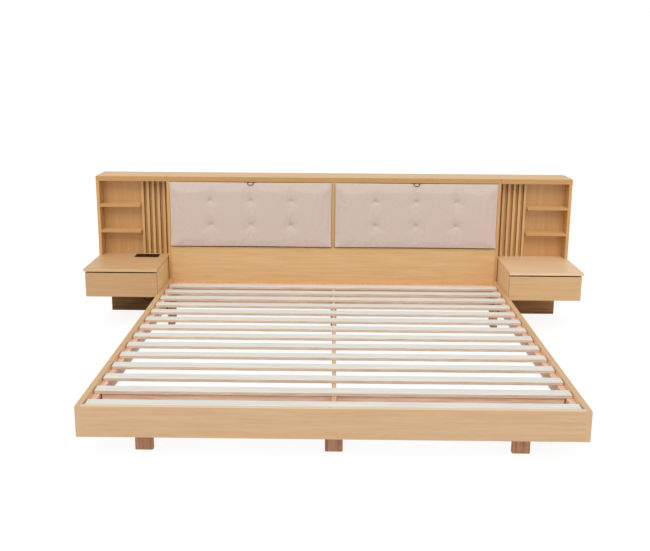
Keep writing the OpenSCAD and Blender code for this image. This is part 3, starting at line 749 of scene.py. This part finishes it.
@dataclass
class PowerLead:
    """The lead of the power unit: its route, the coil of spare lead and the tie on it."""

    length: float = 1.5
    diameter_mm: float = 6.0
    coil_centre_x_mm: float = -1172.0
    coil_radius_mm: float = 38.0
    coil_play_mm: float = 0.6
    coil_turns: float = 3.55
    coil_climb: float = 0.25
    rings_per_turn: int = 24
    floor_gap_mm: float = 1.0
    # The tail to the plug, and how far it has run and fallen at each point, as shares
    tail_mm: float = 40.0
    tail_shape: tuple[tuple[float, float], ...] = ((0.35, 0.2), (0.6, 0.8), (0.8, 1), (1, 1))
    plug_height_mm: float = 8.2
    # The tie's width, its thickness, its play round the coil, and points round it
    tie_band_mm: float = 7.0
    tie_thick_mm: float = 0.8
    tie_play_mm: float = 0.15
    tie_steps: int = 32
    # Points of the drawn line between two points of the route
    line_steps: int = 3
    # The route's points, with Y measured from the headboard's face: from the strain relief
    # down below the case, up before the plinth, back through it, and down to the coil
    route_mm: tuple[tuple[float, float, float], ...] = (
        (-1156, 20, 315), (-1156, 20, 298), (-1156, 20, 268), (-1156, 20, 238),
        (-1156, 20, 208), (-1156, 20, 178), (-1156, 20, 150), (-1156, 20, 130),
        (-1156, 20, 113), (-1152.4, 20, 99.5), (-1142.5, 20, 89.6), (-1129, 20, 86),
        (-1115.5, 20, 89.6), (-1105.6, 20, 99.5), (-1102, 20, 113), (-1102, 20, 133),
        (-1102, 20, 153), (-1102, 23.6, 166.5), (-1102, 33.5, 176.4), (-1102, 47, 180),
        (-1102, 64, 180), (-1102, 96, 180), (-1102, 128, 180), (-1102, 160, 180),
        (-1102, 177, 180), (-1102, 190.5, 176.4), (-1102, 200.4, 166.5), (-1102, 204, 153),
        (-1102, 204, 136), (-1102, 204, 107), (-1102, 204, 77), (-1102, 204, 48),
        (-1102, 204, 31), (-1105.6, 204, 17.5), (-1115.5, 204, 7.6), (-1129, 204, 4),
        (-1146, 204, 4), (-1164, 204, 4),
    )

    @property
    def pitch_mm(self) -> float:
        """The step from one turn of the coil to the next."""
        return self.diameter_mm + self.coil_play_mm

    @property
    def coil_centre_y_mm(self) -> float:
        """How far the coil's middle lies behind the headboard's face."""
        return self.route_mm[-1][1] - self.coil_radius_mm

    def coil_mm(self) -> list[tuple[float, float, float]]:
        """Works out the coil, which spirals in on the floor and out again on top.

        Returns:
            Its points, with Y measured from the headboard's face.
        """
        low = self.diameter_mm / 2 + self.floor_gap_mm
        last = round(self.coil_turns * self.rings_per_turn)
        points = []
        for ring in range(last + 1):
            turn = ring / self.rings_per_turn
            angle = math.radians(90 + 360 * turn)
            radius = self.coil_radius_mm - self.pitch_mm * min(turn, self.coil_turns - turn)
            climb = max(-1.0, min(1.0, (turn - self.coil_turns / 2) / self.coil_climb))
            lift = self.pitch_mm * (1 + math.sin(math.pi / 2 * climb)) / 2
            x = self.coil_centre_x_mm + radius * math.cos(angle)
            points.append((x, self.coil_centre_y_mm + radius * math.sin(angle), low + lift))
        x, y, z = points[-1]
        ahead, aside = -math.sin(angle) * self.tail_mm, math.cos(angle) * self.tail_mm
        fall = z - self.plug_height_mm
        points.extend(
            (x + run * ahead, y + run * aside, z - drop * fall) for run, drop in self.tail_shape
        )
        return points

    def centreline(self) -> list[Vector]:
        """Joins the route and the coil to one smooth line.

        Returns:
            Its points in the row frame, in metres.
        """
        joined = [*self.route_mm, *self.coil_mm()]
        knots = [Vector(place) * MM + BEHIND_FACE for place in joined]
        return smooth_line(knots, self.line_steps)

    def build(self) -> None:
        line = self.centreline()
        data = bpy.data.curves.new("power_lead", "CURVE")
        data.dimensions = "3D"
        data.bevel_depth = self.diameter_mm / 2 * MM
        data.bevel_resolution = 7
        data.use_fill_caps = True
        spline = data.splines.new("POLY")
        spline.points.add(len(line) - 1)
        for point, place in zip(spline.points, line):
            point.co = (*place, 1.0)
        spline.use_smooth = True
        data.materials.append(CORD_SHEATH.material("cord_sheath"))
        lead = bpy.data.objects.new("power_lead", data)
        bpy.context.scene.collection.objects.link(lead)
        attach(lead, "bed")
        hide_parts("lead", "lead_coil")
        tie = self.build_tie()
        log.info("lead of %.2f m with its coil and tie", self.length)

    def build_tie(self) -> Object:
        """Makes the flat tie round the coil's turns, on the side away from the plug.

        Returns:
            The tie.
        """
        inner = self.coil_radius_mm - self.pitch_mm * self.coil_turns / 2 - self.diameter_mm / 2
        outer = self.coil_radius_mm + self.diameter_mm / 2
        low = self.floor_gap_mm
        high = low + self.diameter_mm + self.pitch_mm
        half = np.array([outer - inner, high - low]) / 2
        angle = np.arange(self.tie_steps) * math.tau / self.tie_steps
        around = np.stack([np.cos(angle), np.sin(angle)], axis=-1)
        # A rounded oblong: the sum of fourth powers is one
        around = around * (around**4).sum(axis=1, keepdims=True) ** -0.25
        play, thick, edge = self.tie_play_mm, self.tie_thick_mm, self.tie_band_mm / 2
        vertices = []
        for grow, across in ((play, -edge), (play, edge), (thick, edge), (thick, -edge)):
            y = self.coil_centre_y_mm + across
            for out, up in around * (half + grow) + (inner + half[0], low + half[1]):
                vertices.append(Vector((self.coil_centre_x_mm - out, y, up)) * MM + BEHIND_FACE)
        faces = skin([*rings_of(0, 4, self.tie_steps), range(self.tie_steps)])
        tie = mesh_piece("coil_tie", vertices, faces, BLACK_ABS.material("tie_plastic"))
        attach(tie, "bed")
        return tie


def smooth_line(knots: Sequence[Vector], steps: int) -> list[Vector]:
    """Draws a Catmull-Rom curve through the knots.

    Args:
        knots: The points to pass.
        steps: Pieces between two knots.

    Returns:
        The curve's points.
    """
    ends = [2 * knots[0] - knots[1], *knots, 2 * knots[-1] - knots[-2]]
    line = []
    for before, start, end, after in zip(ends, ends[1:], ends[2:], ends[3:]):
        for step in range(steps):
            t = step / steps
            line.append(
                0.5
                * (
                    2 * start
                    + (end - before) * t
                    + (2 * before - 5 * start + 4 * end - after) * t**2
                    + (3 * start - before - 3 * end + after) * t**3
                )
            )
    line.append(knots[-1])
    return line


@dataclass
class TuftedCushion:
    """One flap's upholstery: a crowned cover inflated by a cloth simulation over its tufts."""

    side: Side
    columns: int = 216
    rows: int = 88
    tuft_across: tuple[float, ...] = (0.25, 0.5, 0.75)
    tuft_up: tuple[float, ...] = (0.34, 0.72)
    # The hollow round a tuft, and the narrow pinch that the thread pulls in it
    hollow_depth_mm: float = 6.5
    hollow_reach_mm: float = 26.0
    pinch_depth_mm: float = 9.0
    pinch_reach_mm: float = 8.5
    pinch_power: float = 1.5
    # The folds that leave a tuft: angle in degrees, depth and length in millimetres
    folds: tuple[tuple[float, float, float], ...] = (
        (92, 2.8, 42), (205, 2.0, 32), (337, 2.0, 32), (270, 1.3, 44), (148, 1.2, 26),
        (28, 1.2, 26),
    )
    fold_width_mm: float = 4.6
    # How soon a fold deepens, and how far it turns at most, since no two tufts fold alike
    fold_start: float = 5.0
    fold_turn_deg: float = 9.0
    # How far the sides are pulled in halfway, and how evenly they are
    side_pull_mm: float = 1.5
    side_pull_power: float = 0.8
    # How much closer together the columns and rows stand at the rounded border
    crowding: tuple[float, float] = (0.05, 0.06)
    # How far in from the sides, the bottom and the top the cover reaches its full height
    crown_reach_mm: tuple[float, float, float] = (36.0, 22.0, 50.0)
    # Shares of the whole depth at the border and on the crown, before it is blown up
    border_share: float = 0.56
    bottom_share: float = 0.86
    crown_share: float = 0.95
    # How far the cover's border laps over the gaps at the sides and over the flap, and how
    # soon that fades inwards
    side_lap_mm: float = 3.0
    top_lap_mm: float = 4.4
    lap_fade: float = 4.0
    # What the simulation holds, how long it runs, and how far it may move a point
    rim_cells: int = 2
    tuft_hold_mm: float = 6.0
    trial_frames: int = 20
    most_move_mm: float = 3.0
    # Half the width of the strap's bed, its depth from the strap's front, its gap below
    # the strap, the slope of its sides, and the slope of the cover's top beside it
    strap_half_mm: float = 25.0
    strap_bed_mm: float = 6.6
    strap_below_mm: float = 2.0
    strap_slope: float = 0.55
    top_slope: float = 0.2
    top_gap_mm: float = 0.2
    # The cover's sides end their outward bow this far before the headboard's face, and
    # their last turn starts this far before the back
    side_step_mm: float = 1.5
    # Half the length of a tuft's thread, its radius, how far it stands out and how its ends
    # bend back, per metre
    stitch_half_mm: float = 5.0
    stitch_radius_mm: float = 0.9
    stitch_rise_mm: float = 0.5
    stitch_bend: float = 6.0

    @property
    def node(self) -> str:
        """The CAD node that the cushion stands in for."""
        return f"cushion_{self.side.value}"

    def tufts(self) -> list[tuple[float, float]]:
        """Lists the tufts, as shares of the cushion's width and height."""
        return list(product(self.tuft_across, self.tuft_up))

    def grid(self) -> tuple[np.ndarray, np.ndarray]:
        """Places the cover's points before it is inflated.

        Returns:
            The points of the front, row by row, and for each its distance to a tuft.
        """
        low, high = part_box(self.node)
        width, depth, height = high - low
        shares = []
        for crowd, cells in zip(self.crowding, (self.columns, self.rows)):
            share = np.linspace(0, 1, cells + 1)
            shares.append(share - crowd * np.sin(2 * np.pi * share))
        u, v = np.meshgrid(*shares)
        pull = self.side_pull_mm * MM
        x = u * width + (1 - 2 * u) * pull * np.sin(np.pi * v) ** self.side_pull_power
        z = v * height + (1 - 2 * v) * pull * np.sin(np.pi * u) ** self.side_pull_power
        side, bottom, top = (reach * MM for reach in self.crown_reach_mm)
        beside = np.minimum(u, 1 - u) * width / side
        above = np.minimum(v * height / bottom, (1 - v) * height / top)
        border = np.minimum(beside, above)
        rise = np.sin(np.pi / 2 * np.minimum(1, beside))
        rise = rise * np.sin(np.pi / 2 * np.minimum(1, above))
        away = np.min(
            [np.hypot(x - across * width, z - up * height) for across, up in self.tufts()], axis=0
        )
        hollow = np.exp(-((away / (self.hollow_reach_mm * MM)) ** 2))
        # The bottom border stands out nearly as far as the face
        near_bottom = np.clip(1 - v * height / (3 * bottom), 0, 1)
        outer = self.border_share + (self.bottom_share - self.border_share) * near_bottom
        share = outer + (self.crown_share - outer) * rise
        y = high.y - share * depth + self.hollow_depth_mm * MM * hollow
        # The border laps over the gaps at both sides and at the top
        lap = MM * np.exp(-border * self.lap_fade)
        x = x + self.side_lap_mm * lap * (2 * u - 1)
        z = z + self.top_lap_mm * lap * np.maximum(0, 2 * v - 1)
        points = np.stack([low.x + x, y, low.z + z], axis=-1).reshape(-1, 3)
        return points, away.reshape(-1)

    def front_faces(self) -> list[tuple[int, int, int, int]]:
        """Lists the front's quads, each wound to face the foot of the bed."""
        stride = self.columns + 1
        return [
            (a, a + 1, a + 1 + stride, a + stride)
            for row in range(self.rows)
            for a in range(row * stride, row * stride + self.columns)
        ]

    def inflate(self, points: np.ndarray, away: np.ndarray) -> np.ndarray:
        """Blows the cover up between its border and its tufts.

        Args:
            points: The front's points.
            away: Each point's distance to a tuft.

        Returns:
            The points after the simulation, none moved further than the cap.
        """
        cover = mesh_piece("cover_trial", points, self.front_faces(), LINEN_CLOTH)
        index = np.arange(len(points))
        column, row = index % (self.columns + 1), index // (self.columns + 1)
        inwards = np.minimum(
            np.minimum(column, self.columns - column), np.minimum(row, self.rows - row)
        )
        held = np.flatnonzero((inwards < self.rim_cells) | (away < self.tuft_hold_mm * MM))
        group = cover.vertex_groups.new(name="held")
        group.add(held.tolist(), 1.0, "REPLACE")
        cloth = cover.modifiers.new("cloth", "CLOTH")
        settings = cloth.settings
        settings.quality = 6
        settings.mass = 0.25
        settings.tension_stiffness = 18
        settings.compression_stiffness = 12
        settings.shear_stiffness = 6
        settings.bending_stiffness = 0.6
        settings.shrink_min = -0.004
        settings.use_pressure = True
        settings.uniform_pressure_force = 1.5
        settings.vertex_group_mass = "held"
        settings.effector_weights.gravity = 0
        cloth.collision_settings.use_self_collision = False
        scene = bpy.context.scene
        for number in range(self.trial_frames):
            scene.frame_set(number + 1)
        shown = cover.evaluated_get(bpy.context.evaluated_depsgraph_get())
        blown = np.array([vertex.co for vertex in shown.data.vertices])
        scene.frame_set(1)
        bpy.data.objects.remove(cover)
        move = blown - points
        reach = np.linalg.norm(move, axis=1, keepdims=True)
        most = self.most_move_mm * MM
        return points + move * np.minimum(1, most / np.maximum(reach, 1e-9))

    def creases(self, points: np.ndarray) -> np.ndarray:
        """Works out the pinch of each tuft and the folds that leave it like a star.

        Args:
            points: The front's points.

        Returns:
            How far each point sinks in, in metres.
        """
        low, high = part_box(self.node)
        sink = np.zeros(len(points))
        for across, up in self.tufts():
            dx = points[:, 0] - low.x - across * (high.x - low.x)
            dz = points[:, 2] - low.z - up * (high.z - low.z)
            pinch = np.hypot(dx, dz) / (self.pinch_reach_mm * MM)
            sink += self.pinch_depth_mm * MM * np.exp(-(pinch**self.pinch_power))
            for turn, depth, length in self.folds:
                turn += self.fold_turn_deg * math.sin(7 * across + 5 * up + turn)
                cos, sin = math.cos(math.radians(turn)), math.sin(math.radians(turn))
                along = np.maximum(0, dx * cos + dz * sin) / (length * MM)
                beside = (dz * cos - dx * sin) / (self.fold_width_mm * MM)
                fade = np.minimum(1, along * self.fold_start) * np.exp(-(along**2))
                sink += depth * MM * fade * np.exp(-(beside**2))
        return sink

    def under_strap(self, points: np.ndarray) -> np.ndarray:
        """Presses the cover in where the pull strap lies on it.

        Args:
            points: The front's points.

        Returns:
            The points, clear of the strap.
        """
        strap_low, strap_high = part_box(f"pull_strap_{self.side.value}")
        low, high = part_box(self.node)
        middle = (strap_low.x + strap_high.x) / 2
        beside = np.maximum(0, np.abs(points[:, 0] - middle) / MM - self.strap_half_mm) * MM
        below = np.maximum(0, strap_low.z - self.strap_below_mm * MM - points[:, 2])
        bed = strap_low.y + self.strap_bed_mm * MM
        slope = self.strap_slope * np.hypot(beside, below)
        points[:, 1] = np.maximum(points[:, 1], bed - slope)
        top = high.z - self.top_gap_mm * MM + beside * self.top_slope
        points[:, 2] = np.minimum(points[:, 2], top)
        return points

    def build(self) -> None:
        node = self.node
        points, away = self.grid()
        points = self.inflate(points, away)
        points[:, 1] += self.creases(points)
        points = self.under_strap(points)
        low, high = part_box(node)
        rim = self.rim()
        step = self.side_step_mm * MM
        inside = np.clip(points[rim], (low.x, -np.inf, low.z), (high.x, np.inf, high.z))
        sides = [inside * (1, 0, 1) + (0, y, 0) for y in (FACE_Y - step, high.y - step, high.y)]
        rings = [rim, *rings_of(len(points), len(sides), len(rim))]
        faces = [*self.front_faces(), *skin(rings[::-1])]
        faces.extend(self.back_faces(sides[-1], rings[-1]))
        piece = mesh_piece(
            f"tufted_cushion_{self.side.value}", np.vstack([points, *sides]), faces, LINEN_CLOTH
        )
        fine = piece.modifiers.new("smooth_cover", "SUBSURF")
        fine.levels = fine.render_levels = 1
        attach(piece, f"flap_{self.side.value}")
        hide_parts(node)
        self.build_stitches(points)
        log.info("cushion %s with %d points", self.side.value, len(points))

    def back_faces(
        self, outline: np.ndarray, ring: Sequence[int]
    ) -> list[tuple[int, int, int]]:
        """Closes the flat back, which lies on the flap's board.

        Args:
            outline: The back's border points.
            ring: Their indices.

        Returns:
            Triangles that face the board.
        """
        faces = []
        for a, b, c in tessellate_polygon([[Vector(point) for point in outline]]):
            turn = np.cross(outline[b] - outline[a], outline[c] - outline[a])[1]
            order = (a, b, c) if turn > 0 else (a, c, b)
            faces.append(tuple(ring[index] for index in order))
        return faces

    def rim(self) -> list[int]:
        """Lists the front's border points in order round it."""
        stride, top = self.columns + 1, self.rows * (self.columns + 1)
        return [
            *range(self.columns),
            *range(self.columns, top + self.columns, stride),
            *range(top + self.columns, top, -1),
            *range(top, 0, -stride),
        ]

    def build_stitches(self, points: np.ndarray) -> None:
        """Sews a short thread across the bottom of each tuft.

        Args:
            points: The front's points.
        """
        low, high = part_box(self.node)
        vertices: list[Vector] = []
        faces: list[tuple[int, ...]] = []
        for across, up in self.tufts():
            x, z = low.lerp(high, across).x, low.lerp(high, up).z
            nearest = np.argmin(np.hypot(points[:, 0] - x, points[:, 2] - z))
            front = points[nearest, 1] - self.stitch_rise_mm * MM
            rings = []
            for share in (-1.0, -0.6, -0.2, 0.2, 0.6, 1.0):
                rise = share * self.stitch_half_mm * MM
                middle = Vector((x, front + self.stitch_bend * rise**2, z + rise))
                rings.append((middle, self.stitch_radius_mm * MM))
            add_turned(vertices, faces, rings, across=Vector((1, 0, 0)), sides=8)
        piece = mesh_piece(f"tuft_stitches_{self.side.value}", vertices, faces, STITCH_THREAD)
        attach(piece, f"flap_{self.side.value}")


LINEN_CLOTH = LINEN.material("woven_linen", 3.0)
STITCH_THREAD = MouldedPlastic(
    colour="7E6A60", fleck="927D72", grain_mm=0.8, roughness=0.9
).material("stitch_thread")


@dataclass
class BedBase:
    """The slatted base: rails, ledgers, cross boards, beam, legs, slats and screws."""

    screw_head_mm: float = 9.0
    screw_height_mm: float = 178.0
    # The head's rings: the share of its radius, and the height above its foot
    screw_rings: tuple[tuple[float, float], ...] = (
        (1.0, 0.0), (0.95, 1.2), (0.7, 2.2), (0.3, 2.6), (0.22, 1.2),
    )
    # How far the ledgers' inner faces lie beyond the foot cross board's ends
    ledger_gap_mm: float = 5.0
    # How close to that board, before and behind it, a ledger has no screw
    board_clear_mm: tuple[float, float] = (20.0, 60.0)
    # Points of the slats' mesh that lie within this reach belong to one slat
    slat_reach_mm: float = 70.0

    def build(self) -> None:
        """Dresses the base and drives the ledgers' screws."""
        dress_boards(OAK_SIDE_RAIL, Axis.Y, ["side_rail_left", "side_rail_right"])
        dress_boards(OAK_FOOT_RAIL, Axis.X, ["foot_rail"])
        dress_boards(LEDGER_TIMBER, Axis.X, ["foot_cross_board", "head_cross_board"])
        dress_boards(LEDGER_TIMBER, Axis.Y, ["ledgers"])
        dress_boards(BEAM_TIMBER, Axis.Y, ["centre_beam"])
        legs = [
            f"leg_{end}_{place}"
            for end in ("foot", "head")
            for place in ("left", "middle", "right")
        ]
        dress_boards(RED_TIMBER, Axis.Z, legs)
        dress_boards(SLAT_VENEER, Axis.X, ["slats"])
        dress("corner_brackets", ZINC.material("bracket_zinc"), 0.3)
        self.build_screws()

    def slat_edges(self) -> list[tuple[float, float]]:
        """Reads where each slat starts and ends along the bed.

        Returns:
            The front and back of each slat, from the foot to the head.
        """
        places = sorted({round(v.co.y, 4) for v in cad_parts["slats"].data.vertices})
        edges: list[list[float]] = []
        for place in places:
            if edges and place - edges[-1][0] < self.slat_reach_mm * MM:
                edges[-1][1] = place
            else:
                edges.append([place, place])
        return [(start, end) for start, end in edges]

    def build_screws(self) -> None:
        """Drives one screw into each ledger in every gap between two slats."""
        low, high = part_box("foot_cross_board")
        gap = self.ledger_gap_mm * MM
        before, behind = (clear * MM for clear in self.board_clear_mm)
        edges = self.slat_edges()
        vertices: list[Vector] = []
        faces: list[tuple[int, ...]] = []
        for (_, near), (far, _) in zip(edges, edges[1:]):
            y = (near + far) / 2
            if low.y - before < y < high.y + behind:
                continue
            for sign, x in ((1, low.x - gap), (-1, high.x + gap)):
                foot = Vector((x, y, self.screw_height_mm * MM))
                rings = [
                    (foot + Vector((sign * lift * MM, 0, 0)), share * self.screw_head_mm / 2 * MM)
                    for share, lift in self.screw_rings
                ]
                add_turned(vertices, faces, rings, across=Vector((0, 1, 0)), sides=14)
        piece = mesh_piece(
            "ledger_screws", vertices, faces, BLACK_ABS.material("screw_black"), smooth=False
        )
        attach(piece, "bed")
        log.info("%d points in the ledgers' screws", len(vertices))


@dataclass
class Headboard:
    """The middle unit with its two padded flaps."""

    cap_edge_mm: float = 2.2

    def build(self) -> None:
        """Dresses the unit and upholsters its flaps."""
        caps = ["headboard_cap", "tower_cap_left", "tower_cap_right"]
        dress_boards(OAK_CAP, Axis.X, caps, self.cap_edge_mm)
        dress_boards(OAK_HEAD, Axis.X, ["headboard_lower_panel"])
        dress_boards(OAK_BACK, Axis.X, ["headboard_back", "headboard_floor"])
        dress_boards(
            OAK_TOWER,
            Axis.Z,
            ["headboard_side_left", "headboard_side_right", "headboard_divider"],
        )
        dress("magnet_catches", CATCH_ABS.material("catch_plastic"), 0.5)
        hinge_steel = BRONZED_STEEL.material("hinge_steel")
        dress("flap_hinges", hinge_steel, 0)
        strap = STRAP_WEB.material("strap_web")
        for side in Side:
            dress_boards(OAK, Axis.X, [f"flap_board_{side.value}"])
            dress(f"hinge_leaves_{side.value}", hinge_steel, 0)
            dress(f"pull_strap_{side.value}", strap, 0.5)
            TuftedCushion(side).build()


@dataclass
class Tower:
    """One shelf tower beside the headboard."""

    side: Side

    def build(self) -> None:
        """Dresses the tower's boards."""
        name = self.side.value
        dress_boards(OAK_SHELF, Axis.X, [f"shelves_{name}"])
        dress_boards(OAK_TOWER, Axis.Z, [f"tower_side_{name}"])
        dress_boards(OAK_RIB, Axis.Z, [f"tower_ribs_{name}"])
        dress_boards(OAK_BACK, Axis.Z, [f"tower_back_{name}"])


@dataclass
class Nightstand:
    """One hung nightstand with its drawer and plinth."""

    side: Side

    def build(self) -> None:
        """Dresses the nightstand, its drawer and its plinth."""
        name = self.side.value
        dress_boards(TABLE_TOP[self.side], Axis.X, [f"nightstand_top_{name}"])
        dress_boards(DRAWER_FRONT[self.side], Axis.X, [f"drawer_front_{name}"])
        dress_boards(OAK_CASE, Axis.Y, [f"nightstand_case_{name}"])
        dress_boards(DRAWER_WOOD, Axis.Y, [f"drawer_box_{name}"])
        dress(f"drawer_slides_{name}", ZINC.material(f"slide_zinc_{name}"), 0)
        # The left plinth takes the darker copy, which is painted shade
        plinth = PLINTH_IN_PAINTED_SHADE if self.side is Side.LEFT else BROWN_PLINTH
        dress_boards(plinth, Axis.X, [f"plinth_{name}"])


@dataclass
class PowerUnit:
    """The flush power unit in the left nightstand, with its strain relief and plug."""

    def build(self) -> None:
        """Dresses the unit and what hangs on its lead."""
        dress("power_unit", UNIT_ABS.material("unit_abs"), 0.4)
        dress("strain_relief", CORD_SHEATH.material("relief_rubber"), 0)
        dress("plug", BLACK_ABS.material("plug_abs"), 0.6)


def shown_to(tree: NodeTree, first: str, second: str) -> NodeSocket:
    """Tells whether a ray is of one of two kinds.

    Args:
        tree: The node tree.
        first: The one kind.
        second: The other kind.

    Returns:
        The socket, which is 1 for those rays and 0 for the others.
    """
    rays = add_node(tree, "ShaderNodeLightPath").outputs
    kinds = {0: rays[f"Is {first} Ray"], 1: rays[f"Is {second} Ray"]}
    return add_node(tree, "ShaderNodeMath", kinds, operation="MAXIMUM").outputs[0]


@dataclass
class Studio:
    """A white floor and backdrop with plain soft light."""

    world_light: float = 0.71
    sun_strength: float = 1.28
    # A lamp at rest shines straight down, and this tilts it towards the head
    sun_tilt_deg: float = 44.0
    sun_turn_deg: float = -6.0
    sun_spread_deg: float = 40.0
    floor_size: float = 60.0
    floor_glow: float = 0.89

    def build(self) -> None:
        """Makes the world, the lamps and the floor."""
        bpy.context.scene.view_settings.view_transform = "Standard"
        self.build_world()
        self.build_floor()
        self.build_lamp()

    def build_world(self) -> None:
        """Lights evenly from all round, and shows plain white to the camera."""
        world = bpy.data.worlds.new("studio_world")
        world.use_nodes = True
        tree = world.node_tree
        tree.nodes.clear()
        seen = shown_to(tree, "Camera", "Transmission")
        shares = {"Value": seen, "To Min": self.world_light, "To Max": 1.0}
        strength = add_node(tree, "ShaderNodeMapRange", shares).outputs["Result"]
        white = {"Color": linear("FFFFFF"), "Strength": strength}
        light = add_node(tree, "ShaderNodeBackground", white)
        add_node(tree, "ShaderNodeOutputWorld", {"Surface": light.outputs["Background"]})
        bpy.context.scene.world = world

    def build_floor(self) -> None:
        """Lays a pale floor that keeps a faint shadow and looks white to the camera."""
        half = self.floor_size / 2
        material, tree = new_tree("white_floor")
        paint = add_node(tree, "ShaderNodeBsdfDiffuse", {"Color": linear("E4E4E4")})
        faint = add_node(tree, "ShaderNodeBsdfDiffuse", {"Color": linear("707070")})
        shine = {"Color": linear("FFFFFF"), "Strength": self.floor_glow}
        glow = add_node(tree, "ShaderNodeEmission", shine)
        white = add_node(tree, "ShaderNodeAddShader", {0: faint.outputs[0], 1: glow.outputs[0]})
        seen = shown_to(tree, "Camera", "Glossy")
        layers = {0: seen, 1: paint.outputs[0], 2: white.outputs[0]}
        mixed = add_node(tree, "ShaderNodeMixShader", layers)
        add_node(tree, "ShaderNodeOutputMaterial", {"Surface": mixed.outputs[0]})
        corners = [(-half, -half, 0), (half, -half, 0), (half, half, 0), (-half, half, 0)]
        floor = mesh_piece("studio_floor", corners, [(0, 1, 2, 3)], material)

    def build_lamp(self) -> None:
        """Hangs one broad soft light that falls evenly on the bed from in front and above."""
        data = bpy.data.lights.new("soft_light", "SUN")
        data.energy = self.sun_strength
        data.angle = math.radians(self.sun_spread_deg)
        lamp = bpy.data.objects.new("soft_light", data)
        bpy.context.scene.collection.objects.link(lamp)
        tilt, turn = math.radians(self.sun_tilt_deg), math.radians(self.sun_turn_deg)
        lamp.rotation_euler = (tilt, 0.0, turn)


def main() -> None:
    """Builds the scene, piece by piece."""
    logging.basicConfig(level=logging.INFO, format="%(message)s")
    PhotoCamera().build()
    PowerLead().build()
    BedBase().build()
    Headboard().build()
    for side in Side:
        Tower(side).build()
        Nightstand(side).build()
    dress("drawer_runners", ZINC.material("runner_zinc"), 0)
    PowerUnit().build()
    Studio().build()


if __name__ == "__main__":
    main()
